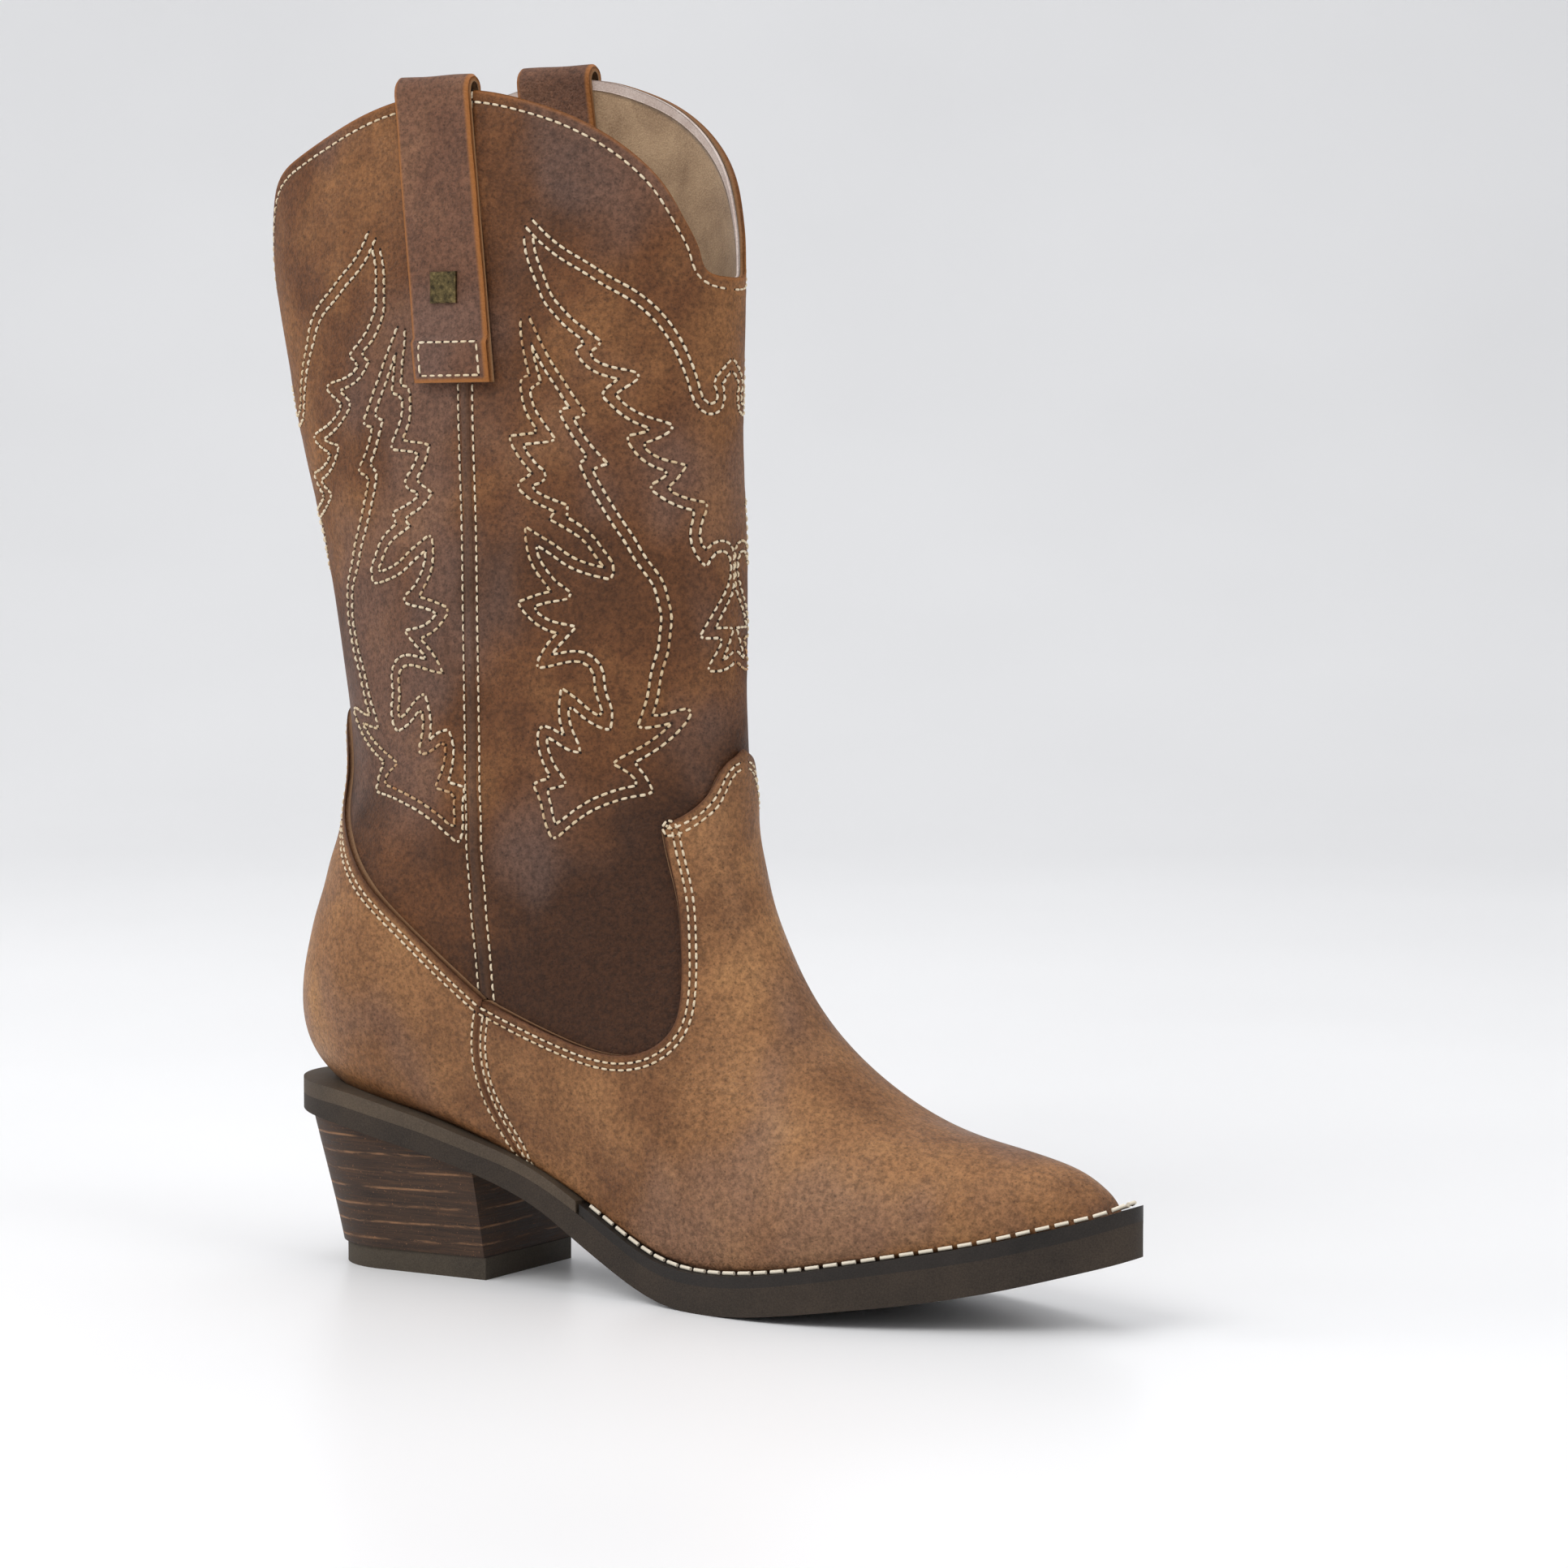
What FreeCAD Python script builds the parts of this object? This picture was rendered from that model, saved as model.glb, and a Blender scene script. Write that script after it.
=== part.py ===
"""Western boot for the right foot, in millimetres.

+X points to the toe, +Y to the inner (medial) side, +Z up.  The origin is the middle of the
boot's footprint on the floor.  The upper is four nested closed forms, each one leather
thickness inside the last; the pieces of each layer are cut from the space between two forms.
"""
import FreeCAD, Part
import math
import os

import Sketcher

V = FreeCAD.Vector
doc = FreeCAD.newDocument("CowboyBoot")

# ---------------------------------------------------------------- driving dimensions
DIMENSIONS = [
    ("leather_thickness", 1.8, "vamp, counter cover and shaft leather"),
    ("lining_thickness", 1.0, "split leather lining"),
    ("piping_stand", 0.7, "how far the side piping stands above the shaft leather"),
    ("piping_width", 5.0, "width of the side piping"),
    ("lap_width", 12.0, "how far the shaft runs down under the vamp and counter"),
    ("lap_forward", 6.0, "how far the shaft runs forward under the tongue"),
    ("lasting_margin", 13.0, "width of upper turned in under the insole"),
    ("insole_thickness", 2.2, "insole board"),
    ("sock_thickness", 1.2, "sock lining"),
    ("heel_pad_thickness", 2.5, "foam pad under the heel"),
    ("heel_pad_front", -62.0, "front end of the heel pad"),
    ("welt_thickness", 3.3, "welt around the forefoot"),
    ("welt_depth", 13.0, "how far the welt reaches in from the sole edge"),
    ("welt_heel_end", -20.0, "where the welt stops and the rand begins"),
    ("rand_height", 4.5, "how far the rand laps up over the heel seat"),
    ("toe_puff_back", 84.0, "rear edge of the toe puff"),
    ("stiffener_front", -46.0, "front edge of the counter stiffener"),
    ("heel_breast_x", -57.0, "front face of the heel"),
    ("heel_bottom_back", -118.3, "rear of the heel on the floor"),
    ("heel_top_back", -131.0, "rear of the heel at the seat"),
    ("heel_bottom_half_width", 22.3, "half the heel's width on the floor"),
    ("heel_top_half_width", 30.2, "half the heel's width at the seat"),
    ("top_lift_thickness", 6.5, "rubber top lift"),
    ("strap_width", 26.0, "pull strap"),
    ("strap_thickness", 2.2, "pull strap leather"),
    ("strap_drop", 83.0, "length of the strap's outer leg"),
    ("strap_inner_drop", 48.0, "length of the strap's inner leg"),
    ("strap_box_height", 13.0, "stitched box at the strap's end"),
    ("strap_box_stand", 1.3, "extra thickness where the strap's end is folded under"),
    ("strap_loop_rise", 4.6, "height of the loop above the topline"),
    ("strap_top_x", -66.0, "middle of the strap at the topline"),
    ("strap_lean", 0.105, "how far the strap moves forward for each mm it drops"),
    ("topline_peak_outer", 346.5, "topline at the side, outer"),
    ("topline_peak_inner", 354.5, "topline at the side, inner"),
    ("topline_tape", 3.0, "height of the stay tape at the topline"),
    ("badge_size", 9.0, "square badge on the outer strap"),
    ("badge_thickness", 1.3, "badge plate"),
    ("badge_z", 290.0, "middle of the badge"),
    ("shank_width", 16.0, "steel shank"),
    ("shank_thickness", 1.4, "steel shank"),
    ("shank_back", -99.0, "rear end of the shank"),
    ("shank_front", 12.0, "front end of the shank"),
    ("screw_radius", 2.5, "heel screw shank"),
    ("screw_head_radius", 5.0, "heel screw head"),
    ("screw_length", 34.0, "heel screw"),
    ("screw_x", -92.0, "heel screw"),
    ("nail_radius", 1.0, "heel nails"),
    ("nail_length", 26.0, "heel nails"),
    ("nail_ring", 13.0, "radius of the ring of heel nails around the screw"),
    ("pin_radius", 1.0, "top lift pins"),
    ("pin_length", 14.0, "top lift pins"),
    ("pin_spread", 12.0, "distance of the top lift pins from the lift's middle"),
    ("stitch_pitch", 5.4, "welt stitching"),
    ("stitch_length", 3.9, "one welt stitch"),
    ("stitch_radius", 0.55, "welt thread"),
    ("stitch_inset", 2.4, "welt stitches, in from the sole edge"),
]
sheet = doc.addObject("Spreadsheet::Sheet", "Dimensions")
for row, (alias, value, note) in enumerate(DIMENSIONS, start=1):
    sheet.set("A%d" % row, alias)
    sheet.set("B%d" % row, str(value))
    sheet.set("C%d" % row, note)
    sheet.setAlias("B%d" % row, alias)
doc.recompute()


def size(alias):
    """A driving dimension, read from the sheet."""
    return float(getattr(sheet, alias))


# ---------------------------------------------------------------- outlines, (x, z) or (x, y)
BACK_AND_BOTTOM = [
    (-142.6, 380), (-144.6, 335), (-145.2, 310), (-145.0, 290), (-139.2, 262.5), (-127.6, 221),
    (-118.5, 177), (-115.4, 160), (-115.2, 146), (-118.0, 132), (-122.2, 119), (-126.4, 107),
    (-129.3, 95.5), (-130.3, 84), (-130.0, 72), (-128.6, 60), (-125.9, 53.2), (-119, 50.6),
    (-104, 49.4), (-88, 46.4), (-73, 43.0), (-63, 40.2), (-54, 37.7), (-45, 35.0), (-35, 31.0),
    (-24, 25.4), (-14, 19.8), (-4, 14.4), (6, 10.3), (16, 8.4), (28, 8.1), (41, 9.1), (67, 13.1),
    (89, 16.9), (109, 20.7), (126, 25.0), (134, 27.6), (137.5, 29.5)]
FRONT_AND_TOP = [
    (14.6, 380), (16.8, 330), (17.2, 300), (16.7, 280), (16.4, 233), (16.8, 200), (17.6, 175),
    (18.6, 156), (19.6, 139.5), (22.2, 123), (27.8, 107), (37.2, 89), (50.3, 73.6),
    (63.5, 62.4), (76.7, 55.6), (89.6, 51.3), (102.5, 48.8), (115.2, 46.4), (125.3, 43.6),
    (132.2, 40.0), (136.0, 36.0), (137.5, 32.5)]
TIP_X = 137.5
PIVOT = (93.0, 220.0)

# Cross-sections of the upper.  Planes swing about the pivot in front of the ankle: level ones
# up the shaft ("level"), tilted ones through the ankle and heel ("swing", degrees below level)
# and upright ones through the toe ("upright").  Each has half widths at the feather edge and
# at the widest place, outer side then inner side, then the share of its length that its lower
# and upper roundings take and how square each rounding is.
STATIONS = [
    ("level", 364, 34.0, 34.0, 34.0, 34.0, 0.50, 0.50, 2.25, 2.25),
    ("level", 335, 34.8, 34.8, 34.8, 34.8, 0.50, 0.50, 2.25, 2.25),
    ("level", 300, 35.5, 35.5, 35.5, 35.5, 0.50, 0.50, 2.25, 2.25),
    ("level", 262, 36.2, 36.2, 36.2, 36.2, 0.50, 0.50, 2.25, 2.25),
    ("swing", 0, 36.5, 36.5, 36.5, 36.5, 0.50, 0.50, 2.25, 2.25),
    ("swing", 11, 36.6, 36.6, 36.6, 36.6, 0.49, 0.50, 2.25, 2.25),
    ("swing", 21, 36.0, 36.0, 36.4, 36.4, 0.44, 0.49, 2.25, 2.20),
    ("swing", 29, 34.8, 34.8, 36.2, 36.2, 0.36, 0.48, 2.25, 2.15),
    ("swing", 35, 33.2, 33.2, 35.6, 35.6, 0.27, 0.46, 2.30, 2.12),
    ("swing", 40, 31.2, 31.0, 34.8, 34.8, 0.17, 0.43, 2.35, 2.10),
    ("swing", 45, 28.9, 28.6, 33.8, 33.8, 0.09, 0.40, 2.40, 2.08),
    ("swing", 52, 26.6, 26.0, 32.4, 32.0, 0.06, 0.35, 2.40, 2.05),
    ("swing", 60, 26.0, 24.3, 31.8, 30.6, 0.06, 0.29, 2.40, 2.02),
    ("swing", 68, 29.0, 26.3, 33.4, 31.6, 0.08, 0.24, 2.40, 2.00),
    ("swing", 76, 33.8, 31.8, 36.6, 35.0, 0.10, 0.20, 2.40, 2.00),
    ("swing", 83, 33.2, 33.8, 35.4, 36.0, 0.14, 0.19, 2.40, 2.00),
    ("swing", 90, 25.6, 27.6, 27.2, 29.2, 0.18, 0.22, 2.40, 2.02),
    ("upright", 105, 20.1, 21.8, 21.4, 23.2, 0.20, 0.25, 2.40, 2.05),
    ("upright", 117, 14.9, 16.3, 15.9, 17.5, 0.23, 0.29, 2.40, 2.10),
    ("upright", 127, 10.4, 11.5, 11.1, 12.3, 0.27, 0.33, 2.40, 2.15),
    ("upright", 133, 7.7, 8.5, 8.1, 9.0, 0.32, 0.38, 2.40, 2.20),
    ("upright", 136.3, 6.3, 6.9, 6.4, 7.1, 0.40, 0.46, 2.30, 2.25),
    ("upright", 137.5, 5.2, 5.6, 5.2, 5.6, 0.50, 0.50, 2.20, 2.20)]
TIP_RINGS = [0.62, 0.25, 0.06]     # rings that close the toe, as shares of the last station

# the edge of the counter cover and vamp, from the back of the heel to the top of the tongue
LAP_BACK = [(-150, 166.5), (-114.5, 165.5), (-110.6, 158), (-110.2, 143), (-104.7, 131.3),
            (-94.5, 120), (-80.2, 108), (-66, 96.5), (-50.0, 84.4)]
LAP_FRONT = [(-50.0, 84.4), (-37.3, 79.3), (-23, 74.2), (-9.5, 71.0), (-1.0, 71.2),
             (6.4, 74.2), (11.2, 80), (12.4, 88), (11.2, 103), (9.2, 117), (6.2, 129),
             (4.6, 137)]
LAP_TONGUE = [(4.6, 137), (10.5, 140.2), (14.4, 145), (16.4, 151.5), (18.5, 156.2), (40, 158)]
VAMP_SEAM = [(-50.0, 84.4), (-53.0, 68.5), (-50, 52.3), (-42, 38), (-36, 20)]
SIDE_SEAM = [(-55.5, 370), (-55.1, 300), (-54.4, 255), (-53.2, 209), (-52.6, 139), (-50, 84.4)]

# topline, as a share of the rise from the dips to the side peak
TOPLINE = [(-150, 0.0), (-144.4, 0.0), (-143.2, 0.10), (-142.0, 0.28), (-138.6, 0.52), (-132.5, 0.63),
           (-124, 0.70), (-111, 0.79), (-97, 0.885), (-84, 0.95), (-67, 0.995), (-51, 0.995),
           (-34, 0.93), (-21, 0.85), (-9.5, 0.74), (-1, 0.62), (6.2, 0.46), (10.6, 0.29),
           (13.6, 0.12), (15.2, 0.02), (17.0, 0.0), (22, 0.0)]
TOPLINE_DIP = 292.5

# the sole: outer side from heel to toe, then inner side from toe to heel
SOLE_PLAN = [
    (-132.5, 0), (-130, -12.5), (-121, -24), (-105, -30.6), (-80, -31.2), (-57, -29.6),
    (-37, -28.4), (-17, -28.8), (3, -31.6), (23, -36.4), (42, -39.2), (61, -38.6),
    (83, -33.0), (103, -25.2), (122, -16.8), (135, -10.6), (142.6, -7.2), (144.5, -4.5),
    (144.5, 4.5), (142.6, 7.6), (135, 11.4), (122, 18.2), (103, 27.2), (83, 35.4), (62, 39.2),
    (42, 37.6), (23, 33.2), (3, 28.6), (-17, 26.6), (-37, 27.0), (-57, 28.8), (-80, 30.8),
    (-105, 30.4), (-121, 24), (-130, 12.5)]
SOLE_UNDERSIDE = [
    (-140, 47.4), (-118, 45.4), (-104, 43.6), (-88, 40.4), (-73, 37.0), (-61, 33.8), (-52, 31.0),
    (-42, 27.2), (-33, 22.8), (-24, 17.2), (-12, 10.2), (0, 4.4), (10, 1.3), (20, 0.1),
    (27, 0.0), (41, 0.9), (54, 2.5), (67, 4.4), (89, 7.5), (109, 11.2), (128, 16.0),
    (138, 18.8), (152, 23.4)]
FAR = 120.0          # beyond the boot's sides
TUCK_TURN = 55.0     # how far behind the origin the tucked edge turns from back to forward
TUCK_SPREAD = 30.0   # and over what length
TUCK_BACK = 0.35     # how far back it goes, as a share of how far forward
LOW = -30.0          # below the boot
RING_POINTS = 44     # points around one cross-section of the upper


# ---------------------------------------------------------------- curves
def spline(points, closed=False):
    """A smooth curve through the points."""
    curve = Part.BSplineCurve()
    curve.interpolate(Points=points, PeriodicFlag=closed)
    return curve


def upright_plane(points):
    return [V(x, 0, z) for x, z in points]


def sampled(points, count=600):
    """Points along the smooth curve through an (x, z) outline."""
    curve = spline(upright_plane(points))
    first, last = curve.FirstParameter, curve.LastParameter
    return [curve.value(first + (last - first) * i / count) for i in range(count + 1)]


def moved_in(line, distance, side):
    """The sampled outline moved sideways by a distance; side is +1 or -1."""
    result = []
    for i, point in enumerate(line):
        ahead = line[min(i + 3, len(line) - 1)]
        behind = line[max(i - 3, 0)]
        along = ahead.sub(behind)
        along.normalize()
        normal = V(-along.z, 0, along.x)
        result.append(point.add(normal.multiply(side * distance)))
    return result


def crossing(line, start, direction, last=False):
    """Where a straight line from start crosses a sampled outline."""
    found = []
    for a, b in zip(line, line[1:]):
        side_a = (a.x - start[0]) * direction[1] - (a.z - start[1]) * direction[0]
        side_b = (b.x - start[0]) * direction[1] - (b.z - start[1]) * direction[0]
        if side_a * side_b > 0 or side_a == side_b:
            continue
        share = side_a / (side_a - side_b)
        point = a.add(b.sub(a).multiply(share))
        ahead = (point.x - start[0]) * direction[0] + (point.z - start[1]) * direction[1]
        if ahead > 0:
            found.append((ahead, point))
    found.sort(key=lambda pair: pair[0])
    return found[-1][1] if last else found[0][1]


def height_at(line, x):
    """Height of a sampled outline at x."""
    for a, b in zip(line, line[1:]):
        if min(a.x, b.x) <= x <= max(a.x, b.x) and a.x != b.x:
            return a.z + (b.z - a.z) * (x - a.x) / (b.x - a.x)
    return line[0].z


def ring(low, high, station, inset):
    """One closed cross-section of the upper, from its lower or rear end round the outer side."""
    (_, _, foot_out, foot_in, wide_out, wide_in, low_share, high_share, low_power,
     high_power) = station
    span = high.sub(low)
    half = []
    steps = 360
    for i in range(steps + 1):
        share = 0.5 - 0.5 * math.cos(math.pi * i / steps)
        width = 1.0
        if share < low_share:
            width *= max(0.0, 1 - (1 - share / low_share) ** low_power) ** (1 / low_power)
        if share > high_share:
            over = (share - high_share) / (1 - high_share)
            width *= max(0.0, 1 - over ** high_power) ** (1 / high_power)
        half.append((share, width, min(1.0, share / 0.35)))
    sides = []
    for foot, wide, sign in ((foot_out, wide_out, -1), (foot_in, wide_in, 1)):
        line = []
        for share, width, grow in half:
            blend = grow * grow * (3 - 2 * grow)
            reach = (foot + (wide - foot) * blend - inset) * width
            line.append(V(low.x + span.x * share, sign * reach, low.z + span.z * share))
        sides.append(spaced(line, RING_POINTS // 2, foot * 0.2))
    return sides[0] + sides[1][::-1][1:-1]


def spaced(line, count, pull):
    """Points along a line, closer together where it turns."""
    marks = [0.0]
    for i in range(1, len(line)):
        step = line[i].sub(line[i - 1]).Length
        turn = 0.0
        if 1 < i < len(line) - 1 and step > 1e-6:
            before = line[i].sub(line[i - 2])
            after = line[min(i + 1, len(line) - 1)].sub(line[i - 1])
            turn = before.getAngle(after) if before.Length * after.Length > 1e-9 else 0.0
        marks.append(marks[-1] + step + pull * turn)
    result = [line[0]]
    at = 1
    for k in range(1, count):
        goal = marks[-1] * k / count
        while marks[at] < goal:
            at += 1
        share = (goal - marks[at - 1]) / (marks[at] - marks[at - 1])
        result.append(line[at - 1].add(line[at].sub(line[at - 1]).multiply(share)))
    result.append(line[-1])
    return result


WRAP = 5             # columns repeated at the seam so that the surface runs on smoothly
MAP_LENGTH = 460.0   # length of the upper and the way round it, on a flat map of the surface
MAP_GIRTH = 220.0


class Form:
    """A smooth closed surface of the upper, one inset inside the outermost face.

    u counts stations from the shaft's top to the toe, v runs once round from the back or
    bottom centre, over the outer side, the front or top at 0.5, and the inner side."""

    def __init__(self, inset):
        self.inset = inset
        low_line = moved_in(sampled(BACK_AND_BOTTOM), inset, 1)
        high_line = moved_in(sampled(FRONT_AND_TOP), inset, -1)
        tip = TIP_X
        while height_at(high_line, tip - 0.01) - height_at(low_line, tip - 0.01) < 3.0:
            tip -= 0.25
        tip = min(tip, TIP_X - inset)
        rows = []
        for station in STATIONS:
            kind, place = station[0], station[1]
            if kind == "level":
                low = crossing(low_line, (PIVOT[0], place), (-1, 0), last=True)
                high = crossing(high_line, (PIVOT[0], place), (-1, 0))
            elif kind == "swing":
                down = math.radians(place)
                direction = (-math.cos(down), -math.sin(down))
                low = crossing(low_line, PIVOT, direction, last=True)
                high = crossing(high_line, PIVOT, direction)
            else:
                x = PIVOT[0] + (place - PIVOT[0]) * (tip - PIVOT[0]) / (TIP_X - PIVOT[0])
                low = V(x, 0, height_at(low_line, x))
                high = V(x, 0, height_at(high_line, x))
            rows.append(ring(low, high, station, inset))
        last = rows[-1]
        centre = V(last[0].x, 0, (last[0].z + last[RING_POINTS // 2].z) / 2)
        for share in TIP_RINGS:
            rows.append([centre.add(p.sub(centre).multiply(share)).add(V(0.12 * (1 - share)))
                         for p in last])
        grid = [row[-WRAP:] + row + row[:WRAP + 1] for row in rows]
        self.surface = Part.BSplineSurface()
        self.surface.interpolate(grid)
        self.u_knots = self.surface.getUKnots()
        self.v_knots = self.surface.getVKnots()

    def at(self, u, v):
        """The point at station u (a real number) and share v of the way round."""
        column = (v % 1.0) * RING_POINTS + WRAP
        return self.surface.value(between(self.u_knots, u), between(self.v_knots, column))

    def find(self, x, z, side, guess):
        """(u, v) of the surface point with the given x and z on one side."""
        u, v = guess
        step = 1e-3
        for _ in range(40):
            here = self.at(u, v)
            error = (here.x - x, here.z - z)
            if abs(error[0]) + abs(error[1]) < 1e-4:
                break
            du = self.at(u + step, v).sub(here).multiply(1 / step)
            dv = self.at(u, v + step * side).sub(here).multiply(1 / step)
            det = du.x * dv.z - dv.x * du.z
            if abs(det) < 1e-9:
                break
            move_u = (error[0] * dv.z - dv.x * error[1]) / det
            move_v = (du.x * error[1] - error[0] * du.z) / det
            scale = min(1.0, 0.6 / (abs(move_u) + 1e-9), 0.04 / (abs(move_v) + 1e-9))
            u = min(max(u - move_u * scale, 0.0), len(STATIONS) - 1.0)
            v -= move_v * scale * side
            low, high = (0.002, 0.498) if side > 0 else (0.502, 0.998)
            v = min(max(v, low), high)
        return u, v


def between(values, place):
    """The value at a real index."""
    place = min(max(place, 0.0), len(values) - 1.0)
    i = min(int(place), len(values) - 2)
    return values[i] + (values[i + 1] - values[i]) * (place - i)


# ---------------------------------------------------------------- edges on the surface
OUT, IN = 1, -1      # outer (lateral) side and inner (medial) side


def nearest(form, x, z, side):
    """A first guess for Form.find."""
    best = None
    for i in range(len(STATIONS)):
        for k in range(1, 13):
            v = k / 26 if side == OUT else 1 - k / 26
            here = form.at(i, v)
            miss = (here.x - x) ** 2 + (here.z - z) ** 2
            if best is None or miss < best[0]:
                best = (miss, i, v)
    return best[1], best[2]


def trace(form, line, side, count=70):
    """(u, v) along a sampled (x, z) line, where it lies on the boot."""
    marks = []
    guess = None
    for k in range(count + 1):
        point = line[round(k * (len(line) - 1) / count)]
        if guess is None:
            guess = nearest(form, point.x, point.z, side)
        u, v = form.find(point.x, point.z, side, guess)
        here = form.at(u, v)
        if abs(here.x - point.x) + abs(here.z - point.z) < 0.05:
            guess = (u, v)
            marks.append(guess)
        else:
            guess = None
    return marks


def centre_mark(form, z, v, low, high):
    """(u, v) on the middle line v (0 or 0.5) at height z, between two stations."""
    for _ in range(50):
        middle = (low + high) / 2
        if form.at(middle, v).z > z:
            low = middle
        else:
            high = middle
    return low, v


def measured(form, marks, by_v):
    """Share of the way along an edge for each mark, by v or by length."""
    shares = [0.0]
    for a, b in zip(marks, marks[1:]):
        if by_v:
            step = abs(b[1] - a[1]) + 1e-7
        else:
            step = form.at(*a).distanceToPoint(form.at(*b)) + 1e-7
        shares.append(shares[-1] + step)
    return [share / shares[-1] for share in shares]


def along(marks, shares, share):
    """The mark at a share of the way along an edge."""
    for i in range(1, len(marks)):
        if shares[i] >= share:
            part = (share - shares[i - 1]) / (shares[i] - shares[i - 1])
            a, b = marks[i - 1], marks[i]
            return a[0] + (b[0] - a[0]) * part, a[1] + (b[1] - a[1]) * part
    return marks[-1]


def column_shares(form, edges, count):
    """Column places that crowd where either of two edges is long in 3-D."""
    lengths = [0.0]
    for k in range(1, 401):
        step = 0.15
        for marks, shares in edges:
            a = form.at(*along(marks, shares, (k - 1) / 400))
            b = form.at(*along(marks, shares, k / 400))
            step += a.distanceToPoint(b)
        lengths.append(lengths[-1] + step)
    result = []
    at = 0
    for k in range(count + 1):
        goal = lengths[-1] * k / count
        while at < 399 and lengths[at + 1] < goal:
            at += 1
        part = (goal - lengths[at]) / (lengths[at + 1] - lengths[at])
        result.append((at + part) / 400)
    result[-1] = 1.0
    return result


def blended(form, top, bottom, left, right, columns, rows, by_v=True):
    """A grid of (u, v) filling the space between four edges."""
    top_shares, bottom_shares = measured(form, top, by_v), measured(form, bottom, by_v)
    left_shares, right_shares = measured(form, left, False), measured(form, right, False)
    grid = []
    for t in column_shares(form, ((top, top_shares), (bottom, bottom_shares)), columns):
        upper, lower = along(top, top_shares, t), along(bottom, bottom_shares, t)
        line = []
        for k in range(rows + 1):
            s = k / rows
            a, b = along(left, left_shares, s), along(right, right_shares, s)
            mark = []
            for axis in (0, 1):
                flat = ((1 - s) * ((1 - t) * top[0][axis] + t * top[-1][axis])
                        + s * ((1 - t) * bottom[0][axis] + t * bottom[-1][axis]))
                mark.append((1 - s) * upper[axis] + s * lower[axis]
                            + (1 - t) * a[axis] + t * b[axis] - flat)
            line.append(tuple(mark))
        grid.append(line)
    return relaxed(form, grid)


def placed(values, value):
    """The real index at which a rising list reaches a value."""
    i = 0
    while i < len(values) - 2 and values[i + 1] < value:
        i += 1
    return i + (value - values[i]) / (values[i + 1] - values[i])


def relaxed(form, grid, passes=60):
    """A grid with its inner marks evened out, so that its lines never cross."""
    flat = [[(between(form.u_knots, u) * MAP_LENGTH, v * MAP_GIRTH) for u, v in line]
            for line in grid]
    for _ in range(passes):
        for before, here, after in zip(flat, flat[1:], flat[2:]):
            for k in range(1, len(here) - 1):
                here[k] = evened(before, here, after, k)
    return [[(placed(form.u_knots, x / MAP_LENGTH), y / MAP_GIRTH) for x, y in line]
            for line in flat]


def evened(before, here, after, k):
    """One mark of a grid moved to where the grid lines through it run evenly."""
    across = [(after[k][i] - before[k][i]) / 2 for i in (0, 1)]
    down = [(here[k + 1][i] - here[k - 1][i]) / 2 for i in (0, 1)]
    a = down[0] ** 2 + down[1] ** 2 + 1e-9
    b = across[0] * down[0] + across[1] * down[1]
    c = across[0] ** 2 + across[1] ** 2 + 1e-9
    result = []
    for i in (0, 1):
        twist = (after[k + 1][i] - after[k - 1][i] - before[k + 1][i] + before[k - 1][i]) / 4
        goal = (a * (after[k][i] + before[k][i]) + c * (here[k + 1][i] + here[k - 1][i])
                - 2 * b * twist) / (2 * (a + c))
        result.append(0.2 * here[k][i] + 0.8 * goal)
    return tuple(result)


def surface_through(points):
    surface = Part.BSplineSurface()
    surface.interpolate(points)
    return surface


def ruled(first, second):
    """The straight-ruled face between two curves that run the same way."""
    first_knots, second_knots = first.getKnots(), second.getKnots()
    for curve, others in ((first, second_knots), (second, first_knots)):
        own = curve.getKnots()
        for knot in others:
            if min(abs(knot - k) for k in own) > 1e-9:
                curve.insertKnot(knot)
    surface = Part.BSplineSurface()
    surface.buildFromPolesMultsKnots([first.getPoles(), second.getPoles()], [2, 2],
                                     first.getMultiplicities(), [0.0, 1.0], first.getKnots(),
                                     False, False, 1, first.Degree)
    return surface.toShape()


def walls(first, second):
    """Ruled faces between matching edges of two surfaces."""
    u0, u1, v0, v1 = first.bounds()
    p0, p1, q0, q1 = second.bounds()
    return [ruled(first.uIso(u0), second.uIso(p0)), ruled(first.uIso(u1), second.uIso(p1)),
            ruled(first.vIso(v0), second.vIso(q0)), ruled(first.vIso(v1), second.vIso(q1))]


def closed_solid(faces):
    shell = Part.Shell(faces)
    shell.sewShape()
    solid = Part.Solid(shell)
    if solid.Volume < 0:
        solid.reverse()
    return solid


def sheet_solid(outside, inside):
    """A closed solid between two matching grids of points."""
    first, second = surface_through(outside), surface_through(inside)
    return closed_solid([first.toShape(), second.toShape()] + walls(first, second))


PIECES = []


def feature(name, shape):
    """A finished sub-part that only a free-form shape fits."""
    result = doc.addObject("Part::Feature", name)
    result.Shape = shape
    PIECES.append(result)
    return result


def skin(name, outside, inside, grid):
    """A leather piece: the marks of a grid on two forms, and the solid between."""
    return feature(name, sheet_solid([[outside.at(*mark) for mark in line] for line in grid],
                                     [[inside.at(*mark) for mark in line] for line in grid]))


leather = size("leather_thickness")
lining = size("lining_thickness")
form_outer = Form(0.0)
form_piping = Form(leather - size("piping_stand"))
form_shaft = Form(leather)
form_middle = Form(2 * leather)
form_inside = Form(2 * leather + lining)


# ---------------------------------------------------------------- lines in the (x, z) plane
def joined(*outlines):
    """Smooth curves sampled and joined end to end."""
    result = []
    for outline in outlines:
        result += sampled(outline, 160)[1 if result else 0:]
    return result


def moved(line, dx, dz):
    return [p.add(V(dx, 0, dz)) for p in line]


def tucked(line):
    """The lap line moved under the foot's leather: down, back at the heel, forward in front."""
    result = []
    for p in line:
        share = min(1.0, max(-TUCK_BACK, (p.x + TUCK_TURN) / TUCK_SPREAD))
        result.append(p.add(V(size("lap_forward") * share, 0, -size("lap_width"))))
    return result


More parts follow.
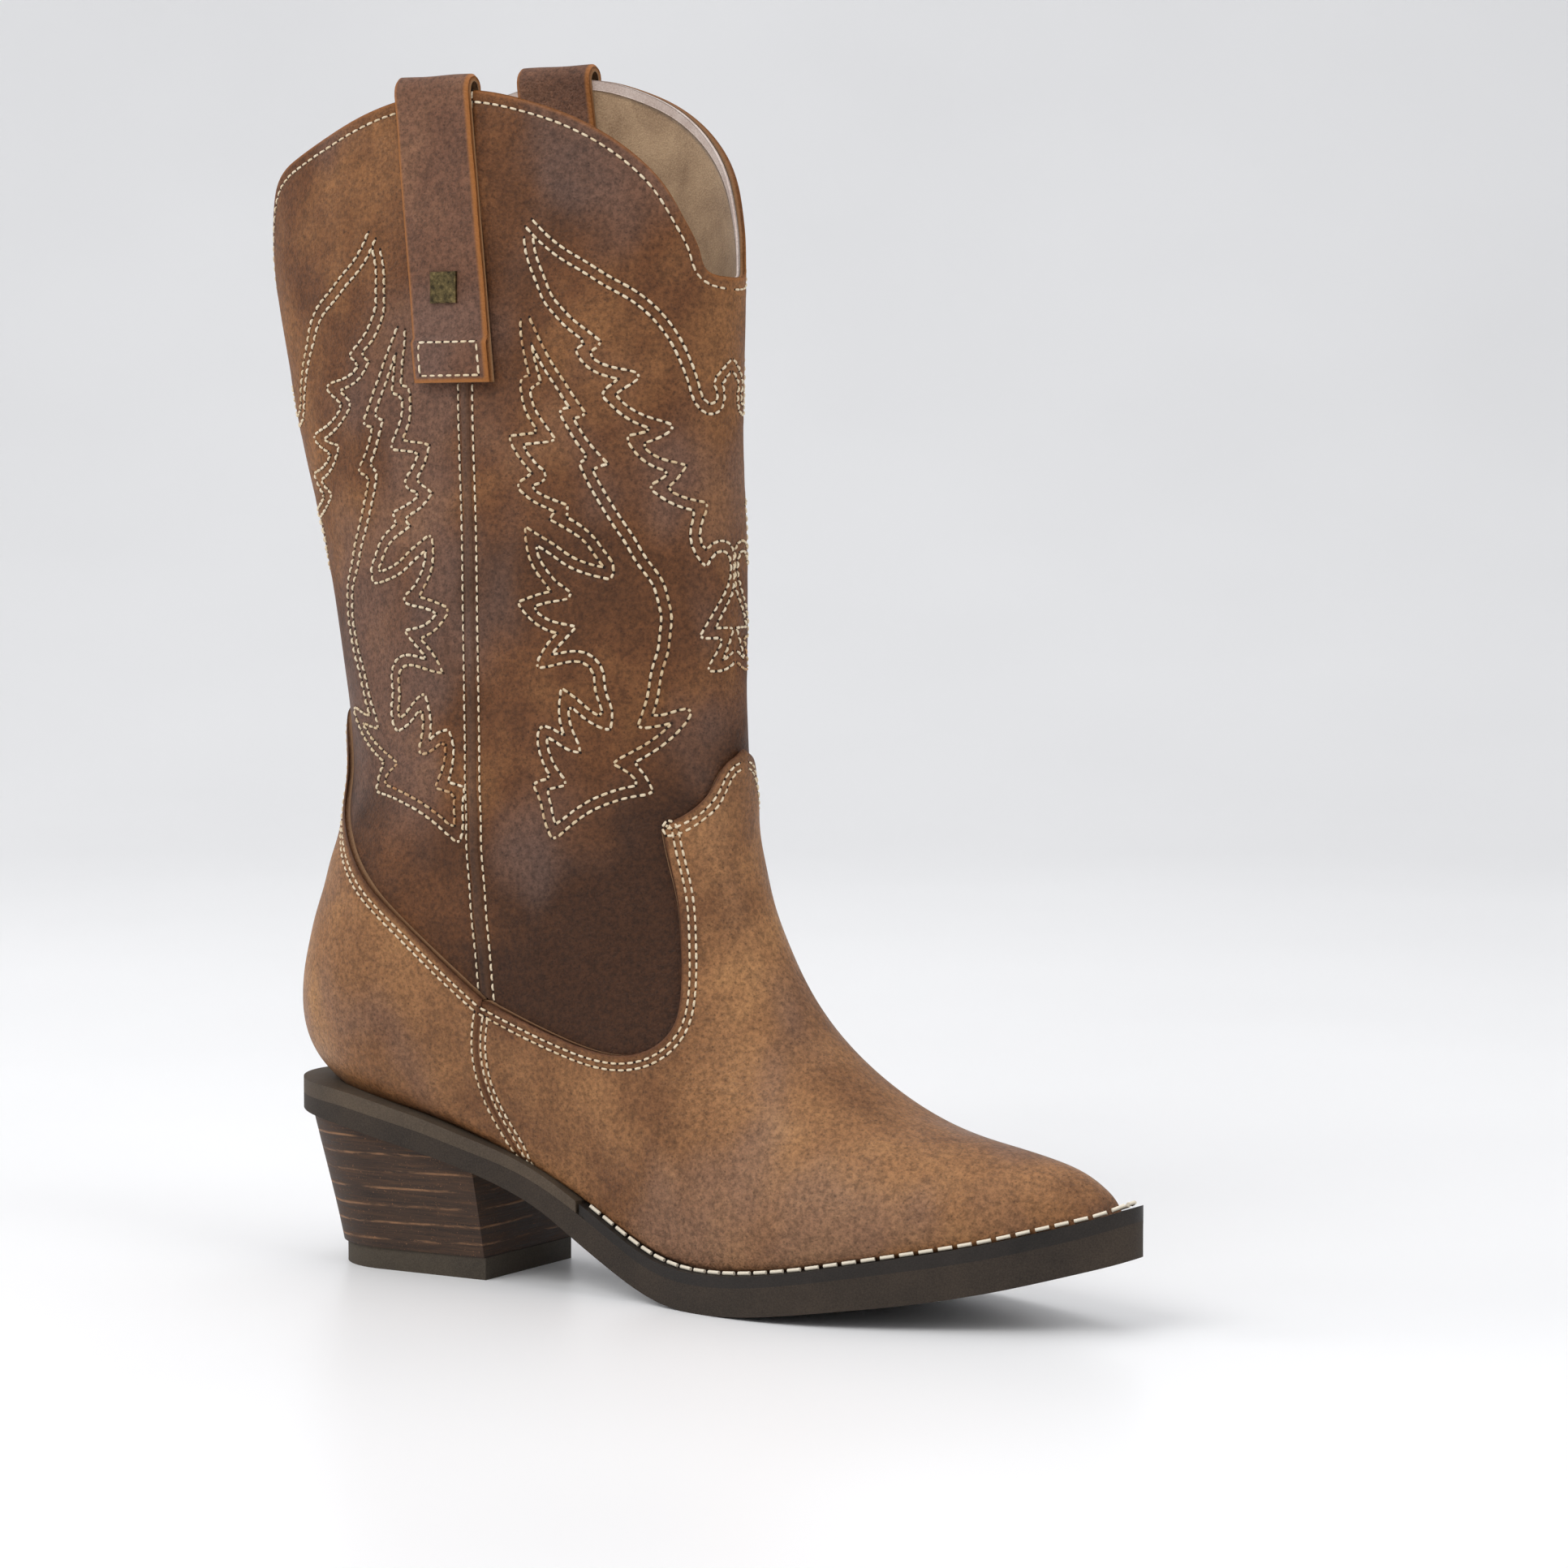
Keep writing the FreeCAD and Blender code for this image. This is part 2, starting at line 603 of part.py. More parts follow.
def meeting(line, other):
    """Index on line, and point, where it first crosses the other line."""
    for i in range(len(line) - 1):
        a, b = line[i], line[i + 1]
        for c, d in zip(other, other[1:]):
            if max(a.x, b.x) < min(c.x, d.x) or max(c.x, d.x) < min(a.x, b.x):
                continue
            if max(a.z, b.z) < min(c.z, d.z) or max(c.z, d.z) < min(a.z, b.z):
                continue
            det = (b.x - a.x) * (d.z - c.z) - (b.z - a.z) * (d.x - c.x)
            if abs(det) < 1e-12:
                continue
            s = ((c.x - a.x) * (d.z - c.z) - (c.z - a.z) * (d.x - c.x)) / det
            r = ((c.x - a.x) * (b.z - a.z) - (c.z - a.z) * (b.x - a.x)) / det
            if 0 <= s <= 1 and 0 <= r <= 1:
                return i, a.add(b.sub(a).multiply(s))
    raise ValueError("the lines do not meet")


def clipped(line, start=None, end=None):
    """The stretch of a line between its crossings with two others."""
    result = line
    if start is not None:
        i, point = meeting(result, start)
        result = [point] + result[i + 1:]
    if end is not None:
        i, point = meeting(result, end)
        result = result[:i + 1] + [point]
    return result


def topline(side, drop=0.0):
    peak = size("topline_peak_outer" if side == OUT else "topline_peak_inner")
    rise = peak - TOPLINE_DIP
    return sampled([(x, TOPLINE_DIP + rise * share - drop) for x, share in TOPLINE], 500)


LAST = len(STATIONS) - 1
TIP = LAST + len(TIP_RINGS)
half_piping = size("piping_width") / 2
lap = joined(LAP_BACK, LAP_FRONT, LAP_TONGUE)
lap_below = tucked(lap)
seam = joined(SIDE_SEAM, [SIDE_SEAM[-1], (-48.0, 70), (-46.5, 55), (-45, 40)])
seam_front, seam_back = moved(seam, half_piping, 0), moved(seam, -half_piping, 0)
vamp_seam = joined(VAMP_SEAM)
stiffener_line = joined([(size("stiffener_front") + 1, 120), (size("stiffener_front"), 75),
                         (size("stiffener_front") + 3, 50), (size("stiffener_front") + 9, 20)])
puff_line = joined([(size("toe_puff_back") - 8, 110), (size("toe_puff_back") - 1, 50),
                    (size("toe_puff_back") + 4, 0)])
base = form_outer


def turned(marks):
    """Inner-side marks seen from the back, so that v runs on past 1 to the outer side."""
    return [(u, v + 1.0) for u, v in marks]


def front_edge(lines, height):
    """An edge from the outer side round the front to the inner side."""
    sides = [trace(base, lines[side], side) for side in (OUT, IN)]
    sides = [[m for m in marks if abs(m[1] - 0.5) > 0.012] for marks in sides]
    near = sides[0][-1][0]
    middle = centre_mark(base, height, 0.5, near - 2.5, near + 2.5)
    return sides[0] + [middle] + sides[1][::-1]


def back_edge(lines, height):
    """An edge from the inner side round the back to the outer side."""
    sides = [trace(base, lines[side][::-1], side) for side in (OUT, IN)]
    sides = [[m for m in marks if min(m[1], 1 - m[1]) > 0.012] for marks in sides]
    near = sides[0][-1][0]
    middle = centre_mark(base, height, 0.0, near - 2.5, near + 2.5)
    return sides[1] + [(middle[0], 1.0)] + turned(sides[0][::-1])


def both(make):
    return {side: make(side) for side in (OUT, IN)}


# ---------------------------------------------------------------- margin turned in underfoot
HOLE_BACK = 8.8       # station where the opening in the turned-in margin begins
HOLE_ROUND = 10.2     # station where its rounded rear end becomes straight
SLIT = 1.3            # half width of the gap that is left under the toe


def foot_half_width(u, side):
    column = 2 if side == OUT else 3
    widths = [station[column] for station in STATIONS]
    return between(widths, u)


def margin_mark(u, side):
    """(u, v) of the inner edge of the turned-in margin at a station."""
    reach = max(foot_half_width(u, side) - size("lasting_margin") - 4.0, SLIT)
    if u < HOLE_ROUND:
        reach *= math.sqrt(max(0.0, 1 - ((HOLE_ROUND - u) / (HOLE_ROUND - HOLE_BACK)) ** 2))
    if u > LAST:
        reach = SLIT * TIP_RINGS[-1]
    low, high = 0.0, 0.15
    for _ in range(40):
        middle = (low + high) / 2
        if abs(base.at(u, side * middle).y) < reach:
            low = middle
        else:
            high = middle
    return (u, low) if side == OUT else (u, 1.0 - low)


def margin_run(start, end, side, count=60):
    return [margin_mark(start + (end - start) * k / count, side) for k in range(count + 1)]


def to_margin(marks, side):
    """An edge running down to the foot, ended where it meets the margin's inner edge."""
    kept = []
    for u, v in marks:
        limit = margin_mark(u, side)[1]
        if (v - limit) * side <= 0:
            break
        kept.append((u, v))
    kept.append(margin_mark(kept[-1][0], side))
    return kept


# ---------------------------------------------------------------- shaft leather and lining
def shaft_pieces(names, outside, inside, lower, seam_lines, tops):
    """The front and back half of one layer of the shaft."""
    front_seam, back_seam = seam_lines
    front_top = front_edge(both(lambda s: clipped(tops[s], front_seam)), tops[0])
    front_low = front_edge(both(lambda s: clipped(lower, front_seam)), lower[-1].z)
    sides = {s: trace(base, clipped(front_seam, tops[s], lower), s) for s in (OUT, IN)}
    grid = blended(base, front_top, front_low, sides[OUT], sides[IN], 60, 30)
    skin(names[0], outside, inside, grid)
    back_top = back_edge(both(lambda s: clipped(tops[s], None, back_seam)), tops[0])
    back_low = back_edge(both(lambda s: clipped(lower, None, back_seam)), lower[0].z)
    sides = {s: trace(base, clipped(back_seam, tops[s], lower), s) for s in (OUT, IN)}
    grid = blended(base, back_top, back_low, sides[IN], turned(sides[OUT]), 60, 30)
    skin(names[1], outside, inside, grid)


top_edges = {OUT: topline(OUT), IN: topline(IN), 0: TOPLINE_DIP}
tape_edges = {OUT: topline(OUT, size("topline_tape")), IN: topline(IN, size("topline_tape")),
              0: TOPLINE_DIP - size("topline_tape")}
shaft_pieces(("shaft_front_panel", "shaft_back_panel"), form_shaft, form_middle, lap_below,
             (seam_front, seam_back), top_edges)
shaft_pieces(("shaft_lining_front", "shaft_lining_back"), form_middle, form_inside, lap,
             (seam, seam), tape_edges)


# ---------------------------------------------------------------- tape and side piping
def tape_half(name, starts, edge):
    """Half of the stay tape: between the topline and a line just below it."""
    high = edge(both(lambda s: starts(top_edges[s])), top_edges[0])
    low = edge(both(lambda s: starts(tape_edges[s])), tape_edges[0])
    ends = []
    for index in (0, -1):
        ends.append([high[index], low[index]])
    grid = blended(base, high, low, ends[0], ends[1], 90, 3)
    skin(name, form_middle, form_inside, grid)


tape_half("topline_tape_front", lambda line: clipped(line, seam), front_edge)
tape_half("topline_tape_back", lambda line: clipped(line, None, seam), back_edge)

for side, name in ((OUT, "side_piping_outer"), (IN, "side_piping_inner")):
    edges = []
    for line in (seam_back, seam_front):
        edges.append(trace(base, clipped(line, top_edges[side], lap), side))
    if side == IN:
        edges.reverse()
    high = [edges[0][0], edges[1][0]]
    low = [edges[0][-1], edges[1][-1]]
    grid = blended(base, high, low, edges[0], edges[1], 6, 60)
    skin(name, form_piping, form_middle, grid)


# ---------------------------------------------------------------- foot, layer by layer
def front_piece(name, outside, inside, back_line, lap_line, end, columns=60, rows=30):
    """A piece that wraps the foot from a rear edge to the toe or to a front line."""
    edges = {}
    for side in (OUT, IN):
        seam_marks = to_margin(trace(base, clipped(back_line, lap_line), side, 40), side)
        lap_marks = trace(base, clipped(lap_line, back_line), side, 90)
        lap_marks = [m for m in lap_marks if abs(m[1] - 0.5) > 0.012]
        edges[side] = seam_marks[::-1] + lap_marks[1:]
    near = edges[OUT][-1][0]
    middle = centre_mark(base, lap_line[-1].z, 0.5, near - 2.5, near + 2.5)
    back = edges[OUT] + [middle] + edges[IN][::-1]
    finish_front(name, outside, inside, back, end, columns, rows)


def finish_front(name, outside, inside, back, end, columns, rows):
    """Fill from a rear edge forward; end is a line, or None for the toe."""
    if end is None:
        left_end, right_end = margin_mark(TIP, OUT), margin_mark(TIP, IN)
        front = [left_end] + [(TIP, k / 40) for k in range(1, 40)] + [right_end]
    else:
        front = line_round(end)
        left_end, right_end = front[0], front[-1]
    left = [back[0]] + margin_run(back[0][0], left_end[0], OUT)[1:]
    right = [back[-1]] + margin_run(back[-1][0], right_end[0], IN)[1:]
    grid = blended(base, back, front, left, right, columns, rows)
    skin(name, outside, inside, grid)


def line_round(line):
    """An edge right round the foot along an (x, z) line, margin to margin."""
    sides = {}
    for side in (OUT, IN):
        marks = trace(base, line, side, 60)
        marks = [m for m in marks if abs(m[1] - 0.5) > 0.012]
        sides[side] = to_margin(marks, side)[::-1]
    top = sides[OUT][-1]
    middle = (top[0] + (sides[OUT][-1][0] - sides[OUT][-2][0]) * 0.4, 0.5)
    return sides[OUT] + [middle] + sides[IN][::-1]


def heel_piece(name, outside, inside, front_line, lap_line, columns=56, rows=26):
    """A piece that wraps the heel from the lap line down to the turned-in margin."""
    high = back_edge(both(lambda s: clipped(lap_line, None, front_line)), lap_line[0].z)
    ends = {}
    for side in (OUT, IN):
        ends[side] = to_margin(trace(base, clipped(front_line, lap_line), side, 40), side)
    low_in = margin_run(ends[IN][-1][0], HOLE_BACK, IN)
    low_out = margin_run(ends[OUT][-1][0], HOLE_BACK, OUT)
    low = low_in[:-1] + [(HOLE_BACK, 1.0)] + turned(low_out[:-1][::-1])
    grid = blended(base, high, low, ends[IN], turned(ends[OUT]), columns, rows, False)
    skin(name, outside, inside, grid)


front_piece("vamp", form_outer, form_shaft, vamp_seam, lap, None)
heel_piece("counter_cover", form_outer, form_shaft, vamp_seam, lap)
front_piece("vamp_lining", form_middle, form_inside, vamp_seam, lap, None, 60, 30)
heel_piece("heel_lining", form_middle, form_inside, vamp_seam, lap, 56, 26)
heel_piece("counter_stiffener", form_shaft, form_middle, stiffener_line, lap_below, 50, 24)
front_piece("vamp_interlining", form_shaft, form_middle, stiffener_line, lap_below, puff_line,
            36, 16)
finish_front("toe_puff", form_shaft, form_middle, line_round(puff_line), None, 24, 10)

# ---------------------------------------------------------------- footbed and filler
feather = sampled(BACK_AND_BOTTOM)
floor_line = [p for p in feather if p.z < 60 and p.x < 137]


def floor_height(x, inset):
    """Height of the middle of the foot's floor on a form."""
    x = min(max(x, -119.0), 132.0)
    ahead, behind = height_at(floor_line, x + 1), height_at(floor_line, x - 1)
    return (ahead + behind) / 2 + inset * math.hypot(1, (ahead - behind) / 2)


def foot_grid(start, end, share, rows, columns):
    """(u, v) over the foot's floor, out to a share of its half width."""
    grid = []
    for i in range(rows + 1):
        u = start + (end - start) * i / rows
        line = []
        for k in range(-columns, columns + 1):
            side = OUT if k >= 0 else IN
            reach = max(foot_half_width(u, side) - form_inside.inset, 1.0) * share(u)
            reach *= abs(k) / columns
            low, high = 0.0, 0.2
            for _ in range(30):
                middle = (low + high) / 2
                if abs(form_inside.at(u, side * middle).y) < reach:
                    low = middle
                else:
                    high = middle
            line.append((u, side * low))
        grid.append(line)
    return grid


def raised(points, height):
    return [[p.add(V(0, 0, height)) for p in line] for line in points]


inner_floor = form_inside.inset
insole_grid = foot_grid(8.55, LAST - 2.0, lambda u: 0.86 if u > 9.3 else 0.80, 44, 9)
insole_low = [[form_inside.at(*mark) for mark in line] for line in insole_grid]
insole_high = []
for line in insole_low:
    insole_high.append([V(p.x, p.y, max(p.z + 0.5, floor_height(p.x, inner_floor)
                                        + size("insole_thickness"))) for p in line])
insole_solid = sheet_solid(insole_low, insole_high)
sock_high = raised(insole_high, size("sock_thickness"))
feature("sock_lining", sheet_solid(insole_high, sock_high))
pad_rows = [line for line in sock_high if line[9].x < size("heel_pad_front")]
pad_low, pad_high = [], []
for i, line in enumerate(pad_rows):
    along_share = i / (len(pad_rows) - 1)
    end_fall = min(1.0, 4.0 * along_share, 4.0 * (1 - along_share))
    pad_low.append([V(p.x, p.y * 0.9, p.z) for p in line])
    pad_high.append([V(p.x, p.y * 0.9, p.z + 0.3 + size("heel_pad_thickness")
                       * math.sqrt(end_fall) * (1 - (k / 9 - 1) ** 4))
                     for k, p in enumerate(line)])
pad_low = [[V(q.x, q.y, surface_z) for q, surface_z in zip(line, [r.z for r in up])]
           for line, up in zip(pad_low, pad_rows)]
feature("heel_pad", sheet_solid(pad_low, pad_high))

filler_grid = []
for i in range(61):
    u = HOLE_BACK + 0.12 + (LAST - 3.0 - HOLE_BACK - 0.12) * i / 60
    out_v, in_v = margin_mark(u, OUT)[1], margin_mark(u, IN)[1] - 1.0
    filler_grid.append([(u, in_v + (out_v - in_v) * k / 12) for k in range(13)])
filler_solid = sheet_solid([[form_outer.at(*m) for m in line] for line in filler_grid],
                           [[form_inside.at(*m) for m in line] for line in filler_grid])


# ---------------------------------------------------------------- features bound to the sheet
def bind(target, **cells):
    """Bind properties to cells; a double underscore in a name stands for a dot."""
    for name, expression in cells.items():
        target.setExpression(name.replace("__", "."), expression)
    return target


def extrusion(name, wire, direction, length):
    outline = doc.addObject("Part::Feature", name + "_outline")
    outline.Shape = wire
    block = doc.addObject("Part::Extrusion", name)
    block.Base = outline
    block.DirMode = "Custom"
    block.Dir = direction
    block.LengthFwd = length
    block.Solid = True
    return block


def combined(kind, name, base_object, tool):
    """A boolean feature: kind is Cut or Common."""
    result = doc.addObject("Part::" + kind, name)
    result.Base = base_object
    result.Tool = tool
    return result


def band(name, low, high, half_width=FAR):
    """A block across the boot between two (x, z) curves."""
    lines = [[V(x, -half_width, z) for x, z in points] for points in (low, high)]
    edges = [spline(lines[0]).toShape(), Part.makeLine(lines[0][-1], lines[1][-1]),
             spline(lines[1]).toShape(), Part.makeLine(lines[1][0], lines[0][0])]
    return extrusion(name, Part.Wire(Part.__sortEdges__(edges)), V(0, 1, 0), 2 * half_width)


def cylinder(name, x, y, low, radius, height):
    """An upright cylinder; radius and height are sheet cells or plain numbers."""
    result = doc.addObject("Part::Cylinder", name)
    bind(result, Radius=radius, Height=height)
    result.Placement.Base = V(x, y, low)
    return result


def finished(name, source):
    """Name the last feature of a sub-part after the sub-part."""
    source.Label = name
    PIECES.append(source)
    return source


# ---------------------------------------------------------------- outsole, welt and rand
SEAT_LINE = [(-150, 51.6), (-132, 51.2)] + [p for p in BACK_AND_BOTTOM
                                            if -120 < p[0] < 130 and p[1] < 51]
SEAT_LINE += [(134, 27.3), (142, 30.0), (152, 33.4)]
plan = Part.Wire(spline([V(x, y, LOW) for x, y in SOLE_PLAN], True).toShape())
plan_block = extrusion("SolePlan", plan, V(0, 0, 1), 120)
sole_side = band("SoleSide", SOLE_UNDERSIDE, SEAT_LINE)
outsole_blank = combined("Common", "OutsoleBlank", plan_block, sole_side)

plan_curve = spline([V(x, y, 0) for x, y in SOLE_PLAN], True)
seat_samples = sampled(SEAT_LINE)


def plan_point(share):
    """Point and inward direction on the sole's outline, from the heel round the outer side."""
    first, last = plan_curve.FirstParameter, plan_curve.LastParameter
    at = first + (last - first) * (share % 1.0)
    point, tangent = plan_curve.value(at), plan_curve.tangent(at)[0]
    return point, V(-tangent.y, tangent.x, 0)


def inside_upper(x, y, z):
    """Whether a point lies inside the outermost form, near the foot's edge."""
    side = OUT if y < 0 else IN
    start = nearest_foot(x, z, side)
    u, v = form_outer.find(x, z, side, start)
    here = form_outer.at(u, v)
    if abs(here.x - x) + abs(here.z - z) > 0.3:
        return False
    return abs(y) < abs(here.y)


def nearest_foot(x, z, side):
    best = None
    for i in range(14, 2 * LAST):
        for k in (1, 2, 3, 5, 8):
            v = k / RING_POINTS * 1.4
            v = v if side == OUT else 1 - v
            here = form_outer.at(i / 2, v)
            miss = (here.x - x) ** 2 + (here.z - z) ** 2
            if best is None or miss < best[0]:
                best = (miss, i / 2, v)
    return best[1], best[2]


def edge_strip(shares, rise, first_rise=0.5, steps=3):
    """A strip on the sole's edge, shaped on its inner face to the upper."""
    outside, inside = [], []
    for share in shares:
        point, inward = plan_point(share)
        seat = height_at(seat_samples, point.x)
        outer_line, inner_line = [], []
        for k in range(steps + 1):
            lift = rise(point.x) * k / steps
            z_in = seat + first_rise + (rise(point.x) - first_rise) * k / steps
            low, high = 0.3, size("welt_depth")
            for _ in range(14):
                middle = (low + high) / 2
                x, y = point.x + inward.x * middle, point.y + inward.y * middle
                level = z_in + height_at(seat_samples, x) - seat
                if inside_upper(x, y, level):
                    high = middle
                else:
                    low = middle
            x, y = point.x + inward.x * low, point.y + inward.y * low
            level = height_at(seat_samples, x)
            outer_line.append(V(point.x, point.y, seat + lift))
            inner_line.append(V(x, y, level + (z_in - seat if k else 0.02)))
        outside.append(outer_line)
        inside.append(inner_line)
    return outside, inside


def share_at(x, side):
    """Share of the sole's outline at x on one side."""
    low, high = (0.04, 0.48) if side == OUT else (0.96, 0.52)
    for _ in range(40):
        middle = (low + high) / 2
        if plan_point(middle)[0].x < x:
            low = middle
        else:
            high = middle
    return low


def welt_rise(x):
    return size("welt_thickness") + 1.0 * min(1.0, max(0.0, (x - 60) / 60))


start_out, start_in = share_at(size("welt_heel_end"), OUT), share_at(size("welt_heel_end"), IN)
welt_shares = [start_out + (start_in - start_out) * i / 150 for i in range(151)]
welt_outside, welt_inside = edge_strip(welt_shares, welt_rise)
feature("welt", sheet_solid(welt_outside, welt_inside))


def rand_rise(x):
    """The rand stands highest at the back and runs down level with the welt."""
    back_share = min(1.0, max(0.0, (-x - 20) / 70))
    return size("welt_thickness") + (size("rand_height") - size("welt_thickness")) * back_share


rand_shares = [start_in - 0.002 + (1 + start_out - start_in) * i / 110
               for i in range(111)]
rand_outside, rand_inside = edge_strip(rand_shares, rand_rise)
feature("heel_rand", sheet_solid(rand_outside, rand_inside))


# ---------------------------------------------------------------- heel
def heel_outline(name, back, front, half_width, level):
    """A D-shaped section of the heel."""
    side = half_width * 0.98
    shoulder = back + half_width * 1.05
    points = [V(shoulder, -half_width, level), V(back, 0, level), V(shoulder, half_width, level)]
    curve = Part.BSplineCurve()
    angles = [math.pi * (0.5 + i / 12) for i in range(13)]
    curve.interpolate([V(shoulder + (shoulder - back) * math.cos(a), half_width * math.sin(a),
                         level) for a in angles])
    corners = [V(front, side, level), V(front, -side, level)]
    wire = Part.Wire([curve.toShape(), Part.makeLine(points[0], corners[1]),
                      Part.makeLine(corners[1], corners[0]), Part.makeLine(corners[0], points[2])])
    outline = doc.addObject("Part::Feature", name)
    outline.Shape = wire
    return outline


lift = size("top_lift_thickness")
breast = size("heel_breast_x")
levels = [(lift, 0.12), (18.0, 0.33), (34.0, 0.66), (50.0, 0.985), (58.0, 1.13)]
sections = []
for k, (level, share) in enumerate(levels):
    back = size("heel_bottom_back") + (size("heel_top_back") - size("heel_bottom_back")) * share
    half_width = (size("heel_bottom_half_width")
                  + (size("heel_top_half_width") - size("heel_bottom_half_width")) * share)
    sections.append(heel_outline("HeelSection%d" % k, back, breast - 3.0 * share, half_width,
                                 level))
heel_form = doc.addObject("Part::Loft", "HeelForm")
heel_form.Sections = sections
heel_form.Solid = True
heel_form.Ruled = False
under_sole = band("UnderSole", [(-150, LOW), (0, LOW), (60, LOW)],
                  [p for p in SOLE_UNDERSIDE if p[0] < 12])
heel_blank = combined("Common", "HeelBlank", heel_form, under_sole)

lift_body = doc.addObject("PartDesign::Body", "TopLiftBody")
lift_sketch = lift_body.newObject("Sketcher::SketchObject", "TopLiftOutline")
plane = [f for f in lift_body.Origin.OriginFeatures if f.Role == "XY_Plane"][0]
lift_sketch.AttachmentSupport = [(plane, "")]
lift_sketch.MapMode = "FlatFace"
lift_half = size("heel_bottom_half_width") + 0.3
lift_centre = size("heel_bottom_back") + lift_half
arc_id = lift_sketch.addGeometry(Part.ArcOfCircle(Part.Circle(V(lift_centre, 0, 0), V(0, 0, 1),
                                 lift_half), math.pi / 2, 3 * math.pi / 2))
low_id = lift_sketch.addGeometry(Part.LineSegment(V(lift_centre, -lift_half, 0),
                                                  V(breast, -lift_half, 0)))
front_id = lift_sketch.addGeometry(Part.LineSegment(V(breast, -lift_half, 0),
                                                    V(breast, lift_half, 0)))
high_id = lift_sketch.addGeometry(Part.LineSegment(V(breast, lift_half, 0),
                                                   V(lift_centre, lift_half, 0)))
for first, end, second, start in ((arc_id, 2, low_id, 1), (low_id, 2, front_id, 1),
                                  (front_id, 2, high_id, 1), (high_id, 2, arc_id, 1)):
    lift_sketch.addConstraint(Sketcher.Constraint("Coincident", first, end, second, start))
lift_sketch.addConstraint(Sketcher.Constraint("Horizontal", low_id))
lift_sketch.addConstraint(Sketcher.Constraint("Horizontal", high_id))
lift_sketch.addConstraint(Sketcher.Constraint("Vertical", front_id))
lift_sketch.addConstraint(Sketcher.Constraint("PointOnObject", arc_id, 3, -1))
radius_id = lift_sketch.addConstraint(Sketcher.Constraint("Radius", arc_id, lift_half))
lift_sketch.setExpression("Constraints[%d]" % radius_id,
                          "Dimensions.heel_bottom_half_width + 0.3")
reach_id = lift_sketch.addConstraint(Sketcher.Constraint("DistanceX", front_id, 1, -1, 1,
                                                         -breast))
lift_sketch.setExpression("Constraints[%d]" % reach_id, "-Dimensions.heel_breast_x")
centre_id = lift_sketch.addConstraint(Sketcher.Constraint("DistanceX", arc_id, 3, -1, 1,
                                                          -lift_centre))
lift_sketch.setExpression("Constraints[%d]" % centre_id, "-Dimensions.heel_bottom_back"
                          " - Dimensions.heel_bottom_half_width - 0.3")
lift_pad = lift_body.newObject("PartDesign::Pad", "TopLiftPad")
lift_pad.Profile = lift_sketch
bind(lift_pad, Length="Dimensions.top_lift_thickness")

# ---------------------------------------------------------------- shank, screw, nails, pins
seat_in = [(x, z) for x, z in SEAT_LINE if size("shank_back") - 30 < x < size("shank_front") + 30]
shank_low = [(x, z + 1.6) for x, z in seat_in]
shank_high = [(x, z + 1.6 + size("shank_thickness")) for x, z in seat_in]
shank_strip = band("ShankStrip", shank_low, shank_high, size("shank_width") / 2)
shank_length = doc.addObject("Part::Box", "ShankLength")
bind(shank_length, Length="Dimensions.shank_front - Dimensions.shank_back", Width="100",
     Height="200", Placement__Base__x="Dimensions.shank_back")
shank_length.Placement.Base = V(size("shank_back"), -50, -50)
shank_blank = combined("Common", "ShankBlank", shank_strip, shank_length)

filler_blank = doc.addObject("Part::Feature", "FillerBlank")
filler_blank.Shape = filler_solid
insole_blank = doc.addObject("Part::Feature", "InsoleBlank")
insole_blank.Shape = insole_solid

screw_x = size("screw_x")
screw_top = floor_height(screw_x, inner_floor) + size("insole_thickness") - 0.4
screw_head = cylinder("ScrewHead", screw_x, 0, screw_top - 2.0, "Dimensions.screw_head_radius",
                      "2")
screw_body = cylinder("ScrewBody", screw_x, 0, screw_top - size("screw_length"),
                      "Dimensions.screw_radius", "Dimensions.screw_length - 1")
screw = doc.addObject("Part::Fuse", "Screw")
screw.Base, screw.Tool = screw_head, screw_body
nails = []
for k in range(5):
    turn = math.radians(72 * k)
    x = screw_x + size("nail_ring") * math.cos(turn)
    y = size("nail_ring") * math.sin(turn)
    top = floor_height(x, inner_floor) + size("insole_thickness") - 0.5
    nails.append(cylinder("Nail%d" % k, x, y, top - size("nail_length"),
                          "Dimensions.nail_radius", "Dimensions.nail_length"))
nail_group = doc.addObject("Part::Compound", "HeelNails")
nail_group.Links = nails
pins = []
lift_middle = (size("heel_bottom_back") + breast) / 2
for k, (dx, dy) in enumerate(((-1, 0), (1, -0.8), (1, 0.8))):
    pins.append(cylinder("Pin%d" % k, lift_middle + dx * size("pin_spread"),
                         dy * size("pin_spread"), 2.5, "Dimensions.pin_radius",
                         "Dimensions.pin_length"))
pin_group = doc.addObject("Part::Compound", "TopLiftPins")
pin_group.Links = pins
fasteners = doc.addObject("Part::Compound", "Fasteners")
fasteners.Links = [screw] + nails
all_fasteners = doc.addObject("Part::Compound", "AllFasteners")
all_fasteners.Links = [screw] + nails + pins
pin_tool = doc.addObject("Part::Compound", "PinTool")
pin_tool.Links = pins

finished("steel_shank", combined("Cut", "Shank", shank_blank, fasteners))
finished("bottom_filler", combined("Cut", "Filler", combined("Cut", "FillerNoShank",
         filler_blank, shank_blank), fasteners))
finished("insole_board", combined("Cut", "Insole", insole_blank, fasteners))
finished("outsole", combined("Cut", "Outsole", outsole_blank, fasteners))
finished("heel_block", combined("Cut", "HeelBlock", heel_blank, all_fasteners))
finished("top_lift", combined("Cut", "TopLift", lift_body, pin_tool))
finished("heel_screw", screw)
finished("heel_nails", nail_group)
finished("top_lift_pins", pin_group)

# ---------------------------------------------------------------- pull straps and badge
over_piping = leather - size("piping_stand")
strap_forms = {"out": (Form(over_piping - 0.06), Form(over_piping - size("strap_thickness"))),
               "in": (Form(inner_floor + 0.06), Form(inner_floor + size("strap_thickness")))}


